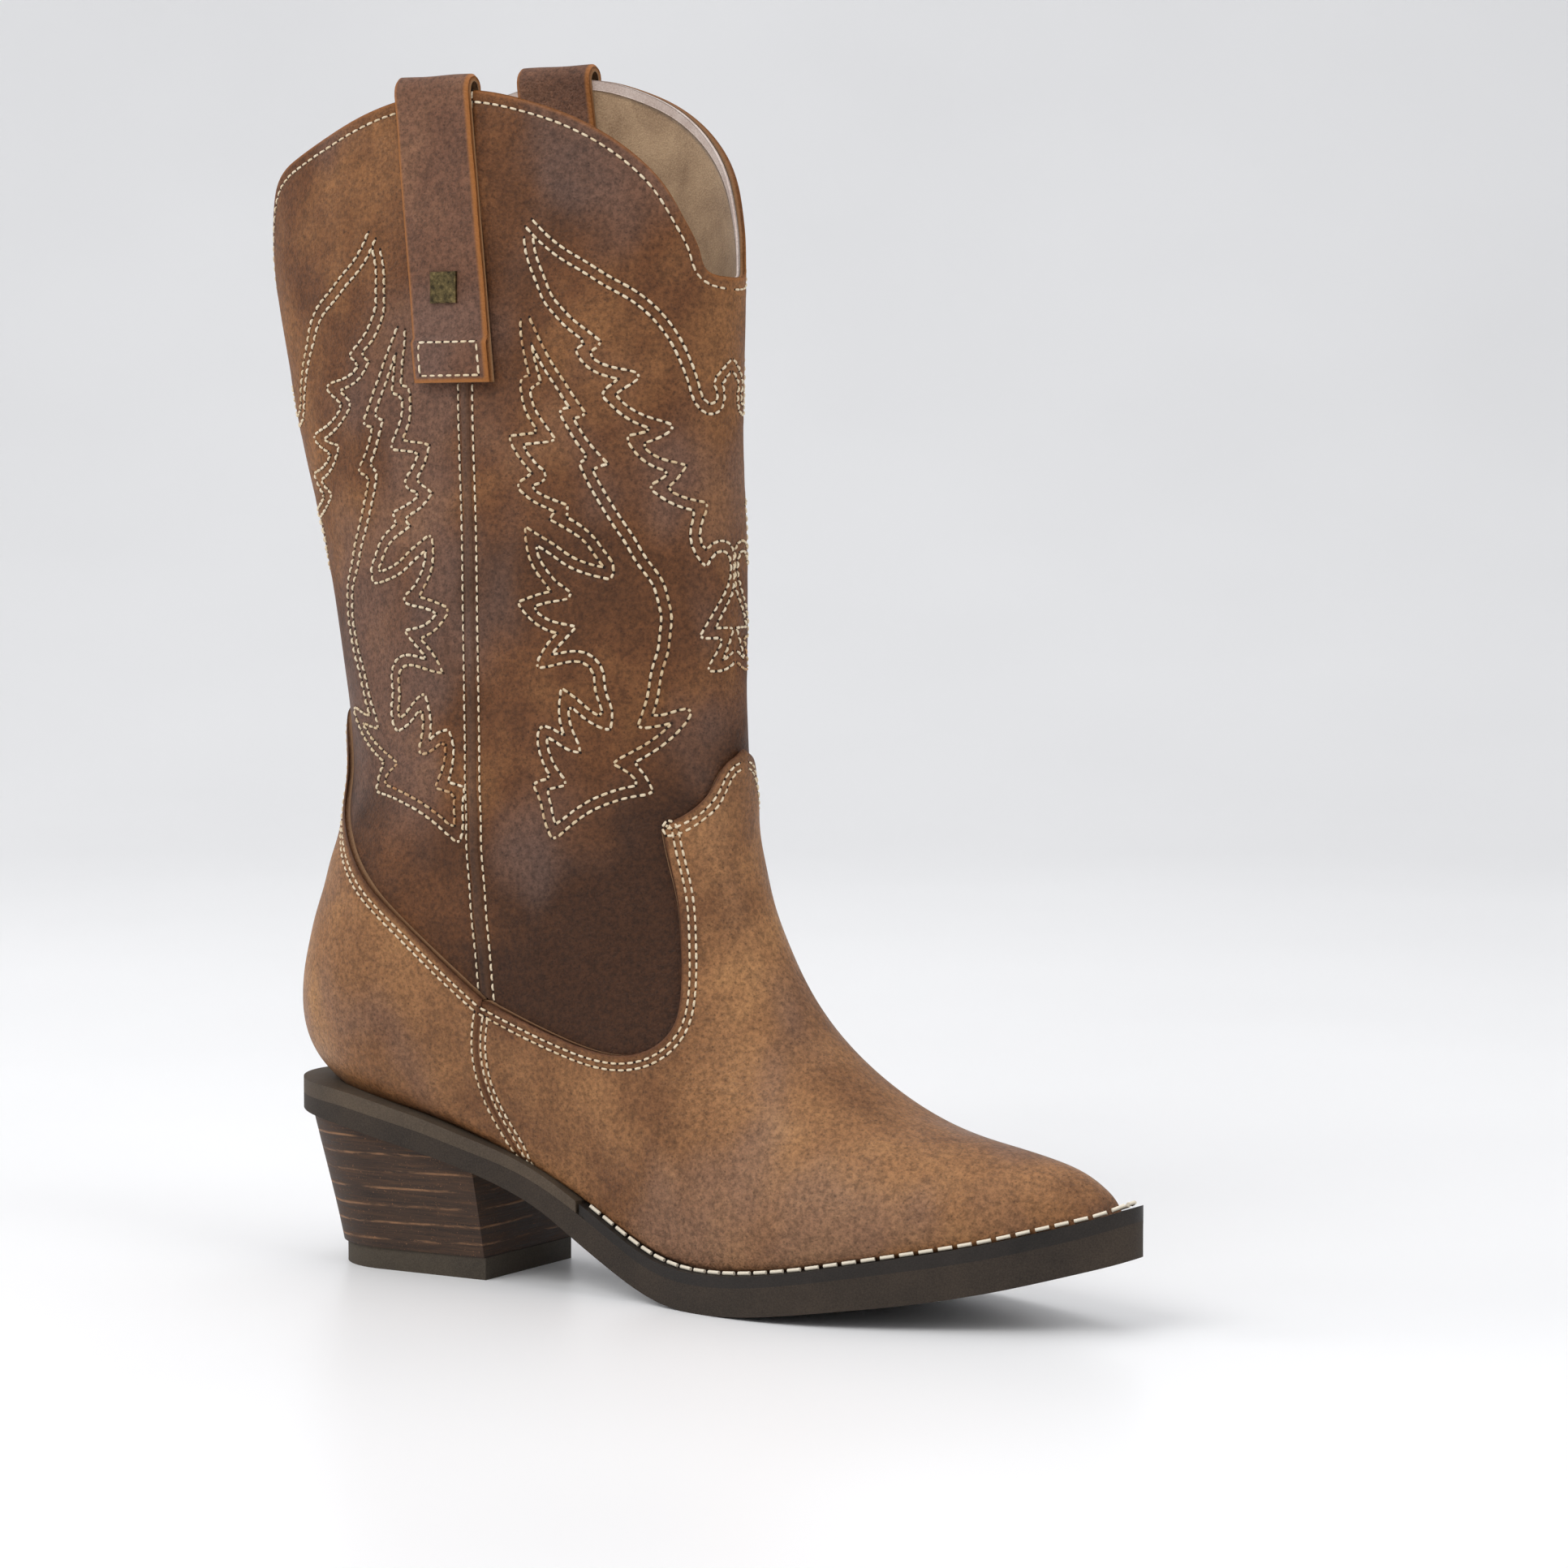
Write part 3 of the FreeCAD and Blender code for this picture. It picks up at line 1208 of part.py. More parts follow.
def strap_centre(z, top):
    return size("strap_top_x") + size("strap_lean") * (top - z)


def strap_solid(side):
    """One strap: outer leg, loop over the topline, inner leg."""
    peak = size("topline_peak_outer" if side == OUT else "topline_peak_inner")
    top = peak - 0.8
    away, near = [], []

    def leg_row(forms, z, extra):
        rows = ([], [])
        for k in range(-3, 4):
            x = strap_centre(z, peak) + size("strap_width") / 2 * k / 3
            guess = nearest(forms[0], x, z, side)
            flat = forms[0].at(*forms[0].find(x, z, side, guess))
            raised_point = forms[1].at(*forms[1].find(x, z, side, guess))
            rows[0].append(flat)
            rows[1].append(flat.add(raised_point.sub(flat).multiply(1 + extra)))
        return rows

    drop, box = size("strap_drop"), size("strap_box_height")
    stand = size("strap_box_stand") / size("strap_thickness")
    for k in range(25):
        z = top - drop + drop * k / 24
        into_box = (top - drop + box - z) / 1.6
        flat, over = leg_row(strap_forms["out"], z, stand * min(1.0, max(0.0, into_box)))
        near.append(flat)
        away.append(over)
    out_near, out_away = near[-1], away[-1]
    in_near, in_away = leg_row(strap_forms["in"], top, 0.0)
    for k in range(1, 12):
        turn = math.pi * k / 12
        rise = size("strap_loop_rise") - size("strap_thickness") + 0.8
        loop_near, loop_away = [], []
        for a, b, c, d in zip(out_near, in_near, out_away, in_away):
            for start, end, height, row in ((a, b, rise, loop_near),
                                            (c, d, rise + size("strap_thickness"), loop_away)):
                middle = (start.y + end.y) / 2
                half = (start.y - end.y) / 2
                row.append(V(start.x + (end.x - start.x) * k / 12,
                             middle + half * math.cos(turn),
                             start.z + height * math.sin(turn) ** 0.8))
        near.append(loop_near)
        away.append(loop_away)
    near.append(in_near)
    away.append(in_away)
    inner_drop = size("strap_inner_drop")
    for k in range(1, 13):
        flat, over = leg_row(strap_forms["in"], top - inner_drop * k / 12, 0.0)
        near.append(flat)
        away.append(over)
    return sheet_solid(away, near)


feature("pull_strap_outer", strap_solid(OUT))
feature("pull_strap_inner", strap_solid(IN))

badge_z = size("badge_z")
badge_x = strap_centre(badge_z, size("topline_peak_outer"))
badge_form = strap_forms["out"][1]
guess = nearest(badge_form, badge_x, badge_z, OUT)
badge_place = badge_form.at(*badge_form.find(badge_x, badge_z, OUT, guess))
badge_plate = doc.addObject("Part::Box", "BadgePlate")
bind(badge_plate, Length="Dimensions.badge_size", Width="Dimensions.badge_thickness",
     Height="Dimensions.badge_size")
half_badge = size("badge_size") / 2
badge_plate.Placement.Base = V(badge_x - half_badge,
                               badge_place.y - size("badge_thickness") - 0.05,
                               badge_z - half_badge)
doc.recompute()
badge = doc.addObject("Part::Chamfer", "BadgeChamfer")
badge.Base = badge_plate
front_edges = [i + 1 for i, edge in enumerate(badge_plate.Shape.Edges)
               if all(abs(v.Point.y - badge_plate.Shape.BoundBox.YMin) < 0.01
                      for v in edge.Vertexes)]
badge.Edges = [(i, 0.5, 0.5) for i in front_edges]
finished("strap_badge", badge)

# ---------------------------------------------------------------- welt stitching
stitch_solids = []
length, here = 0.0, None
path = []
for i in range(1501):
    share = start_out + 0.003 + (start_in - start_out - 0.006) * i / 1500
    point, inward = plan_point(share)
    x, y = point.x + inward.x * size("stitch_inset"), point.y + inward.y * size("stitch_inset")
    z = height_at(seat_samples, point.x) + welt_rise(point.x) + size("stitch_radius") + 0.05
    spot = V(x, y, z)
    if path:
        length += spot.distanceToPoint(path[-1][1])
    path.append((length, spot))


def on_path(distance):
    for (a, p), (b, q) in zip(path, path[1:]):
        if a <= distance <= b:
            return p.add(q.sub(p).multiply((distance - a) / (b - a)))
    return path[-1][1]


count = int(length / size("stitch_pitch"))
for k in range(count):
    start = on_path((k + 0.1) * length / count)
    end = on_path((k + 0.1) * length / count + size("stitch_length"))
    stitch_solids.append(Part.makeCylinder(size("stitch_radius"), start.distanceToPoint(end),
                                           start, end.sub(start)))
feature("welt_stitches", Part.Compound(stitch_solids))

# ---------------------------------------------------------------- check and write
doc.recompute()
for item in doc.Objects:
    if "Invalid" in item.State or "Error" in item.State:
        raise RuntimeError("%s did not compute" % item.Name)
names = []
os.makedirs("parts", exist_ok=True)
for item in PIECES:
    shape = item.Shape
    if shape.isNull() or not shape.isValid():
        raise RuntimeError("%s is not a valid shape" % item.Label)
    if item.Label in names:
        raise RuntimeError("two pieces are called %s" % item.Label)
    names.append(item.Label)
    shape.exportStep(os.path.join("parts", item.Label + ".step"))
print(len(names), "pieces")
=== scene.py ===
import math

import bpy
import numpy as np
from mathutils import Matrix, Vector, kdtree


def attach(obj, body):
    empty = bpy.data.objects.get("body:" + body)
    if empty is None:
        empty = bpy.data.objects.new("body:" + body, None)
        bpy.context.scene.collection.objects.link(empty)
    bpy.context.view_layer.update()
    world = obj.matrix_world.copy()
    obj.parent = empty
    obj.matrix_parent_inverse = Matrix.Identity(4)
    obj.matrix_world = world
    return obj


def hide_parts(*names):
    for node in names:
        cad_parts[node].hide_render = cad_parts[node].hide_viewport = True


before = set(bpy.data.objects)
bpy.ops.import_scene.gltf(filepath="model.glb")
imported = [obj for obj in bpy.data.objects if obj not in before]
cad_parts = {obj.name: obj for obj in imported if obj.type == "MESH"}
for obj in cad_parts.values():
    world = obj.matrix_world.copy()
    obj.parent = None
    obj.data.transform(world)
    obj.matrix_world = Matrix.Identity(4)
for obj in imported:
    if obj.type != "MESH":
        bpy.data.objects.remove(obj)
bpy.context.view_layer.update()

# ---------------------------------------------------------------- sizes, in millimetres
MM = 0.001
SHAFT_INSET = 1.8
INSOLE_THICKNESS, SOCK_THICKNESS = 2.2, 1.2
PAD_THICKNESS, PAD_FRONT = 2.5, -62.0
LAP_BACK = [(-150, 166.5), (-114.5, 165.5), (-110.6, 158), (-110.2, 143), (-104.7, 131.3),
            (-94.5, 120), (-80.2, 108), (-66, 96.5), (-50.0, 84.4)]
LAP_FRONT = [(-50.0, 84.4), (-37.3, 79.3), (-23, 74.2), (-9.5, 71.0), (-1.0, 71.2),
             (6.4, 74.2), (11.2, 80), (12.4, 88), (11.2, 103), (9.2, 117), (6.2, 129),
             (4.6, 137)]
LAP_TONGUE = [(4.6, 137), (10.5, 140.2), (14.4, 145), (16.4, 151.5), (18.5, 156.2), (40, 158)]
VAMP_SEAM = [(-50.0, 84.4), (-53.0, 68.5), (-50, 52.3), (-42, 38), (-36, 20)]
SIDE_SEAM = [(-55.5, 370), (-55.1, 300), (-54.4, 255), (-53.2, 209), (-52.6, 139), (-50, 84.4)]
TOPLINE = [(-150, 0.0), (-144.4, 0.0), (-143.2, 0.10), (-142.0, 0.28), (-138.6, 0.52),
           (-132.5, 0.63), (-124, 0.70), (-111, 0.79), (-97, 0.885), (-84, 0.95), (-67, 0.995),
           (-51, 0.995), (-34, 0.93), (-21, 0.85), (-9.5, 0.74), (-1, 0.62), (6.2, 0.46),
           (10.6, 0.29), (13.6, 0.12), (15.2, 0.02), (17.0, 0.0), (22, 0.0)]
TOPLINE_DIP = 292.5
TOPLINE_PEAK = {1: 346.5, -1: 354.5}
LAP_FORWARD = 6.0
LAP_WIDTH = 12.0
TAPE_HEIGHT = 3.0
MIDDLE_INSET, INSIDE_INSET = 3.6, 4.6    # under the outer leather, and inside the lining
PIPING_INSET, PIPING_SIDE = 1.05, 1.6    # how deep it sits, and half its width in the pattern
FOOT_PITCH = 2.7
MAP_LENGTH, MAP_GIRTH = 460, 220          # size of the upper laid flat, where grids are evened

BACK_AND_BOTTOM = [
    (-142.6, 380), (-144.6, 335), (-145.2, 310), (-145.0, 290), (-139.2, 262.5), (-127.6, 221),
    (-118.5, 177), (-115.4, 160), (-115.2, 146), (-118.0, 132), (-122.2, 119), (-126.4, 107),
    (-129.3, 95.5), (-130.3, 84), (-130.0, 72), (-128.6, 60), (-125.9, 53.2), (-119, 50.6),
    (-104, 49.4), (-88, 46.4), (-73, 43.0), (-63, 40.2), (-54, 37.7), (-45, 35.0), (-35, 31.0),
    (-24, 25.4), (-14, 19.8), (-4, 14.4), (6, 10.3), (16, 8.4), (28, 8.1), (41, 9.1), (67, 13.1),
    (89, 16.9), (109, 20.7), (126, 25.0), (134, 27.6), (137.5, 29.5)]
FRONT_AND_TOP = [
    (14.6, 380), (16.8, 330), (17.2, 300), (16.7, 280), (16.4, 233), (16.8, 200), (17.6, 175),
    (18.6, 156), (19.6, 139.5), (22.2, 123), (27.8, 107), (37.2, 89), (50.3, 73.6),
    (63.5, 62.4), (76.7, 55.6), (89.6, 51.3), (102.5, 48.8), (115.2, 46.4), (125.3, 43.6),
    (132.2, 40.0), (136.0, 36.0), (137.5, 32.5)]
TIP_X = 137.5
PIVOT = (93.0, 220.0)
STATIONS = [
    ("level", 364, 34.0, 34.0, 34.0, 34.0, 0.50, 0.50, 2.25, 2.25),
    ("level", 335, 34.8, 34.8, 34.8, 34.8, 0.50, 0.50, 2.25, 2.25),
    ("level", 300, 35.5, 35.5, 35.5, 35.5, 0.50, 0.50, 2.25, 2.25),
    ("level", 262, 36.2, 36.2, 36.2, 36.2, 0.50, 0.50, 2.25, 2.25),
    ("swing", 0, 36.5, 36.5, 36.5, 36.5, 0.50, 0.50, 2.25, 2.25),
    ("swing", 11, 36.6, 36.6, 36.6, 36.6, 0.49, 0.50, 2.25, 2.25),
    ("swing", 21, 36.0, 36.0, 36.4, 36.4, 0.44, 0.49, 2.25, 2.20),
    ("swing", 29, 34.8, 34.8, 36.2, 36.2, 0.36, 0.48, 2.25, 2.15),
    ("swing", 35, 33.2, 33.2, 35.6, 35.6, 0.27, 0.46, 2.30, 2.12),
    ("swing", 40, 31.2, 31.0, 34.8, 34.8, 0.17, 0.43, 2.35, 2.10),
    ("swing", 45, 28.9, 28.6, 33.8, 33.8, 0.09, 0.40, 2.40, 2.08),
    ("swing", 52, 26.6, 26.0, 32.4, 32.0, 0.06, 0.35, 2.40, 2.05),
    ("swing", 60, 26.0, 24.3, 31.8, 30.6, 0.06, 0.29, 2.40, 2.02),
    ("swing", 68, 29.0, 26.3, 33.4, 31.6, 0.08, 0.24, 2.40, 2.00),
    ("swing", 76, 33.8, 31.8, 36.6, 35.0, 0.10, 0.20, 2.40, 2.00),
    ("swing", 83, 33.2, 33.8, 35.4, 36.0, 0.14, 0.19, 2.40, 2.00),
    ("swing", 90, 25.6, 27.6, 27.2, 29.2, 0.18, 0.22, 2.40, 2.02),
    ("upright", 105, 20.1, 21.8, 21.4, 23.2, 0.20, 0.25, 2.40, 2.05),
    ("upright", 117, 14.9, 16.3, 15.9, 17.5, 0.23, 0.29, 2.40, 2.10),
    ("upright", 127, 10.4, 11.5, 11.1, 12.3, 0.27, 0.33, 2.40, 2.15),
    ("upright", 133, 7.7, 8.5, 8.1, 9.0, 0.32, 0.38, 2.40, 2.20),
    ("upright", 136.3, 6.3, 6.9, 6.4, 7.1, 0.40, 0.46, 2.30, 2.25),
    ("upright", 137.5, 5.2, 5.6, 5.2, 5.6, 0.50, 0.50, 2.20, 2.20)]
TIP_RINGS = [0.62, 0.25, 0.06]
RING_POINTS = 44
WRAP = 5
CHUNK = 20000


def bend_rows(knots):
    """Matrix that turns values at the knots into second derivatives of a smooth curve."""
    n, h = len(knots), np.diff(knots)
    m, r = np.eye(n), np.zeros((n, n))
    for i in range(1, n - 1):
        m[i, i - 1:i + 2] = h[i - 1], 2 * (h[i - 1] + h[i]), h[i]
        r[i, i - 1:i + 2] = 6 / h[i - 1], -6 / h[i - 1] - 6 / h[i], 6 / h[i]
    return np.linalg.solve(m, r)


def curve_rows(knots, bend, places):
    """Weights of the knots' values in a smooth curve, for places between the knots."""
    places = np.clip(places, knots[0], knots[-1])
    low = np.clip(np.searchsorted(knots, places, "right") - 1, 0, len(knots) - 2)
    h = knots[low + 1] - knots[low]
    b = (places - knots[low]) / h
    a = 1 - b
    rows = np.arange(len(places))
    w = np.zeros((len(places), len(knots)))
    w[rows, low] += a
    w[rows, low + 1] += b
    w += bend[low] * ((a ** 3 - a) * h * h / 6)[:, None]
    w += bend[low + 1] * ((b ** 3 - b) * h * h / 6)[:, None]
    return w


def chord_knots(points):
    """Knots 0..1 spaced by the distance between rows of points."""
    steps = np.sqrt((np.diff(points, axis=0) ** 2).sum(axis=(1, 2)))
    return np.concatenate([[0], np.cumsum(steps)]) / steps.sum()


def smooth(points, count=600):
    """Points along the smooth curve through an outline."""
    p = np.array(points, float)
    knots = chord_knots(p[:, None])
    return curve_rows(knots, bend_rows(knots), np.linspace(0, 1, count + 1)) @ p


def moved_in(line, distance, side):
    n = len(line)
    k = np.arange(n)
    t = line[np.minimum(k + 3, n - 1)] - line[np.maximum(k - 3, 0)]
    t /= np.linalg.norm(t, axis=1)[:, None]
    return line + side * distance * np.stack([-t[:, 1], t[:, 0]], 1)


def crossing(line, start, way, last=False):
    rel = line - np.array(start)
    s = rel[:, 0] * way[1] - rel[:, 1] * way[0]
    found = []
    for i in np.nonzero(s[:-1] * s[1:] <= 0)[0]:
        if s[i] == s[i + 1]:
            continue
        point = line[i] + (line[i + 1] - line[i]) * s[i] / (s[i] - s[i + 1])
        ahead = (point - start) @ np.array(way)
        if ahead > 0:
            found.append((ahead, tuple(point)))
    return np.array((max(found) if last else min(found))[1])


def height_at(line, x):
    hit = np.nonzero((line[:-1, 0] - x) * (line[1:, 0] - x) <= 0)[0]
    if len(hit):
        a, b = line[hit[0]], line[hit[0] + 1]
        if a[0] != b[0]:
            return a[1] + (b[1] - a[1]) * (x - a[0]) / (b[0] - a[0])
    return min(line[0][1], line[-1][1])


def spaced(line, count, pull):
    steps = np.linalg.norm(np.diff(line, axis=0), axis=1)
    turn = np.zeros(len(line))
    for i in range(2, len(line) - 1):
        a, b = line[i] - line[i - 2], line[min(i + 1, len(line) - 1)] - line[i - 1]
        size = np.linalg.norm(a) * np.linalg.norm(b)
        if steps[i - 1] > 1e-6 and size > 1e-9:
            turn[i] = math.acos(max(-1.0, min(1.0, float(a @ b) / size)))
    marks = np.concatenate([[0], np.cumsum(steps + pull * turn[1:])])
    goals = marks[-1] * np.arange(count + 1) / count
    return np.stack([np.interp(goals, marks, line[:, k]) for k in range(3)], 1)


def ring(low, high, station, inset):
    (_, _, foot_out, foot_in, wide_out, wide_in, low_share, high_share, low_power,
     high_power) = station
    share = 0.5 - 0.5 * np.cos(np.pi * np.arange(361) / 360)
    width = np.ones(361)
    lower = share < low_share
    lower_curve = 1 - (1 - share[lower] / low_share) ** low_power
    width[lower] *= np.maximum(0, lower_curve) ** (1 / low_power)
    upper = share > high_share
    over = (share[upper] - high_share) / (1 - high_share)
    width[upper] *= np.maximum(0, 1 - over ** high_power) ** (1 / high_power)
    grow = np.minimum(1, share / 0.35)
    blend = grow * grow * (3 - 2 * grow)
    sides = []
    for foot, wide, sign in ((foot_out, wide_out, -1), (foot_in, wide_in, 1)):
        reach = (foot + (wide - foot) * blend - inset) * width
        line = np.stack([low[0] + (high[0] - low[0]) * share, sign * reach,
                         low[1] + (high[1] - low[1]) * share], 1)
        sides.append(spaced(line, RING_POINTS // 2, foot * 0.2))
    return np.concatenate([sides[0], sides[1][::-1][1:-1]])


class Form:
    def __init__(self, inset):
        self.inset = inset
        low_line = moved_in(smooth(BACK_AND_BOTTOM), inset, 1)
        high_line = moved_in(smooth(FRONT_AND_TOP), inset, -1)
        tip = TIP_X
        while height_at(high_line, tip - 0.01) - height_at(low_line, tip - 0.01) < 3.0:
            tip -= 0.25
        tip = min(tip, TIP_X - inset)
        rows = []
        for station in STATIONS:
            kind, place = station[0], station[1]
            if kind == "level":
                low = crossing(low_line, (PIVOT[0], place), (-1, 0), last=True)
                high = crossing(high_line, (PIVOT[0], place), (-1, 0))
            elif kind == "swing":
                down = math.radians(place)
                way = (-math.cos(down), -math.sin(down))
                low = crossing(low_line, PIVOT, way, last=True)
                high = crossing(high_line, PIVOT, way)
            else:
                x = PIVOT[0] + (place - PIVOT[0]) * (tip - PIVOT[0]) / (TIP_X - PIVOT[0])
                low = np.array([x, height_at(low_line, x)])
                high = np.array([x, height_at(high_line, x)])
            rows.append(ring(low, high, station, inset))
        last = rows[-1]
        centre = np.array([last[0][0], 0, (last[0][2] + last[RING_POINTS // 2][2]) / 2])
        for share in TIP_RINGS:
            rows.append(centre + (last - centre) * share + np.array([0.12 * (1 - share), 0, 0]))
        rings = np.array(rows)
        self.grid = np.concatenate([rings[:, -WRAP:], rings, rings[:, :WRAP + 1]], 1)
        self.u_knots = chord_knots(self.grid)
        self.v_knots = chord_knots(self.grid.swapaxes(0, 1))
        self.u_bend, self.v_bend = bend_rows(self.u_knots), bend_rows(self.v_knots)

    def at(self, u, v):
        u, v = np.broadcast_arrays(np.asarray(u, float), np.asarray(v, float))
        shape = u.shape
        u = np.interp(u.ravel(), np.arange(len(self.u_knots)), self.u_knots)
        v = np.interp(v.ravel() % 1.0 * RING_POINTS + WRAP, np.arange(len(self.v_knots)),
                      self.v_knots)
        out = np.empty((len(u), 3))
        for k in range(0, len(u), CHUNK):
            mid = np.tensordot(curve_rows(self.u_knots, self.u_bend, u[k:k + CHUNK]), self.grid, 1)
            out[k:k + CHUNK] = np.einsum("nj,njk->nk", curve_rows(
                self.v_knots, self.v_bend, v[k:k + CHUNK]), mid)
        return out.reshape(shape + (3,))

    def normal(self, u, v):
        e = 0.01
        top = len(self.u_knots) - 1.0
        du = self.at(np.minimum(u + e, top), v) - self.at(np.maximum(u - e, 0), v)
        dv = self.at(u, v + e / 20) - self.at(u, v - e / 20)
        n = np.cross(du, dv)
        return n / np.maximum(np.linalg.norm(n, axis=-1, keepdims=True), 1e-9)




# ---------------------------------------------------------------- edges of the leather pieces
OUT, IN = 1, -1      # outer (lateral) side and inner (medial) side
LAST = len(STATIONS) - 1
TIP = LAST + len(TIP_RINGS)
FEATHER_V = 0.045    # share of the way round where the upper goes under the foot
base = Form(0.0)


def find(line, side, form=None):
    """(u, v) of the surface points over an (x, z) line on one side, where it is on the boot."""
    form = form or base
    line = np.atleast_2d(np.asarray(line, float))
    us, vs = np.arange(0, LAST + 0.01, 0.5), np.linspace(0.01, 0.49, 25)
    vs = vs if side == OUT else 1 - vs
    grid_u, grid_v = [g.ravel() for g in np.meshgrid(us, vs, indexing="ij")]
    seen = form.at(grid_u, grid_v)[:, [0, 2]]
    first = ((line[:, None] - seen[None]) ** 2).sum(2).argmin(1)
    u, v = grid_u[first].copy(), grid_v[first].copy()
    low, high = (0.002, 0.498) if side == OUT else (0.502, 0.998)
    step = 1e-3
    for _ in range(40):
        here = form.at(u, v)[:, [0, 2]]
        du = (form.at(u + step, v)[:, [0, 2]] - here) / step
        dv = (form.at(u, v + step * side)[:, [0, 2]] - here) / (step * side)
        miss = here - line
        det = du[:, 0] * dv[:, 1] - dv[:, 0] * du[:, 1]
        det = np.where(np.abs(det) < 1e-9, 1e-9, det)
        move_u = (miss[:, 0] * dv[:, 1] - dv[:, 0] * miss[:, 1]) / det
        move_v = (du[:, 0] * miss[:, 1] - miss[:, 0] * du[:, 1]) / det
        scale = np.minimum(1, np.minimum(0.6 / (np.abs(move_u) + 1e-9),
                                         0.04 / (np.abs(move_v) + 1e-9)))
        u = np.clip(u - move_u * scale, 0, LAST)
        v = np.clip(v - move_v * scale, low, high)
    miss = np.abs(form.at(u, v)[:, [0, 2]] - line).sum(1)
    marks = np.stack([u, v], 1)
    return marks[miss < 0.05]


def resampled(line, count):
    """A line with its points spread evenly by index."""
    at = np.linspace(0, len(line) - 1, count + 1)
    i = np.minimum(at.astype(int), len(line) - 2)
    return line[i] + (line[i + 1] - line[i]) * (at - i)[:, None]


def trace(line, side, count=110):
    return find(resampled(line, count), side)


def centre_mark(height, v, near):
    """The mark on the middle line v (0 or 0.5) at a height, close to a station."""
    us = np.linspace(max(near - 2.5, 0), min(near + 2.5, LAST), 400)
    z = base.at(us, np.full(400, v))[:, 2]
    return np.array([us[np.abs(z - height).argmin()], v])


def joined(*outlines):
    """Smooth curves sampled and joined end to end."""
    parts = [smooth(outline, 160) for outline in outlines]
    return np.concatenate([parts[0]] + [part[1:] for part in parts[1:]])


def meeting(line, other):
    """Index on line, and point, where it first crosses the other line."""
    a, b = line[:-1, None], line[1:, None]
    c, d = other[None, :-1], other[None, 1:]
    ab, cd, ac = b - a, d - c, c - a
    det = ab[..., 0] * cd[..., 1] - ab[..., 1] * cd[..., 0]
    det = np.where(np.abs(det) < 1e-12, np.nan, det)
    s = (ac[..., 0] * cd[..., 1] - ac[..., 1] * cd[..., 0]) / det
    r = (ac[..., 0] * ab[..., 1] - ac[..., 1] * ab[..., 0]) / det
    i, k = np.argwhere((s >= 0) & (s <= 1) & (r >= 0) & (r <= 1))[0]
    return i, line[i] + (line[i + 1] - line[i]) * s[i, k]


def clipped(line, start=None, end=None):
    """The stretch of a line between its crossings with two others."""
    if start is not None:
        i, point = meeting(line, start)
        line = np.concatenate([[point], line[i + 1:]])
    if end is not None:
        i, point = meeting(line, end)
        line = np.concatenate([line[:i + 1], [point]])
    return line


def topline(side, drop=0.0):
    x, share = np.array(TOPLINE, float).T
    rise = TOPLINE_PEAK[side] - TOPLINE_DIP
    return smooth(np.stack([x, TOPLINE_DIP + rise * share - drop], 1), 500)


def both(make):
    return {side: make(side) for side in (OUT, IN)}


def turned(marks):
    """Inner-side marks seen from the back, so that v runs on past 1 to the outer side."""
    return marks + [0.0, 1.0]


def front_edge(lines, height):
    """An edge from the outer side round the front to the inner side."""
    sides = [trace(lines[side], side) for side in (OUT, IN)]
    sides = [marks[np.abs(marks[:, 1] - 0.5) > 0.012] for marks in sides]
    middle = centre_mark(height, 0.5, sides[0][-1][0])
    return np.concatenate([sides[0], [middle], sides[1][::-1]])


def back_edge(lines, height):
    """An edge from the inner side round the back to the outer side."""
    sides = [trace(lines[side][::-1], side) for side in (OUT, IN)]
    sides = [m[np.minimum(m[:, 1], 1 - m[:, 1]) > 0.012] for m in sides]
    middle = centre_mark(height, 0.0, sides[0][-1][0])
    return np.concatenate([sides[1], [middle + [0, 1]], turned(sides[0][::-1])])


def arc_shares(marks, by_v):
    """Share of the way along an edge for each mark, by v or by length."""
    if by_v:
        steps = np.abs(np.diff(marks[:, 1]))
    else:
        steps = np.linalg.norm(np.diff(base.at(marks[:, 0], marks[:, 1]), axis=0), axis=1)
    shares = np.concatenate([[0], np.cumsum(steps + 1e-7)])
    return shares / shares[-1]


def along(marks, shares, at):
    return np.stack([np.interp(at, shares, marks[:, k]) for k in (0, 1)], -1)


def edge_places(length, step):
    """Shares along a length: even, but crowded at both ends so that the edge can be rounded."""
    ends = np.array([0, 0.12, 0.3, 0.55, 0.9]) / length
    inner = np.linspace(ends[-1], 1 - ends[-1], max(2, int((length - 1.8) / step)))
    return np.concatenate([ends[:-1], inner, (1 - ends[:-1])[::-1]])


def blended(top, bottom, left, right, step, by_v=True):
    """A grid of (u, v) filling the space between four edges; columns run along the top."""
    shares = [arc_shares(top, by_v), arc_shares(bottom, by_v),
              arc_shares(left, False), arc_shares(right, False)]
    fine = np.linspace(0, 1, 401)
    length = np.full(400, 0.05)
    for marks, at in ((top, shares[0]), (bottom, shares[1])):
        line = along(marks, at, fine)
        length += np.linalg.norm(np.diff(base.at(line[:, 0], line[:, 1]), axis=0), axis=1) / 2
    length = np.concatenate([[0], np.cumsum(length)])
    t = np.interp(edge_places(length[-1], step) * length[-1], length, fine)
    side = along(left, shares[2], fine)
    tall = np.linalg.norm(np.diff(base.at(side[:, 0], side[:, 1]), axis=0), axis=1).sum()
    s = edge_places(tall, step)
    t, s = t[:, None, None], s[None, :, None]
    upper, lower = along(top, shares[0], t[:, 0, 0]), along(bottom, shares[1], t[:, 0, 0])
    a, b = along(left, shares[2], s[0, :, 0]), along(right, shares[3], s[0, :, 0])
    flat = ((1 - s) * ((1 - t) * top[0] + t * top[-1])
            + s * ((1 - t) * bottom[0] + t * bottom[-1]))
    grid = ((1 - s) * upper[:, None] + s * lower[:, None]
            + (1 - t) * a[None] + t * b[None] - flat)
    return relaxed(grid)


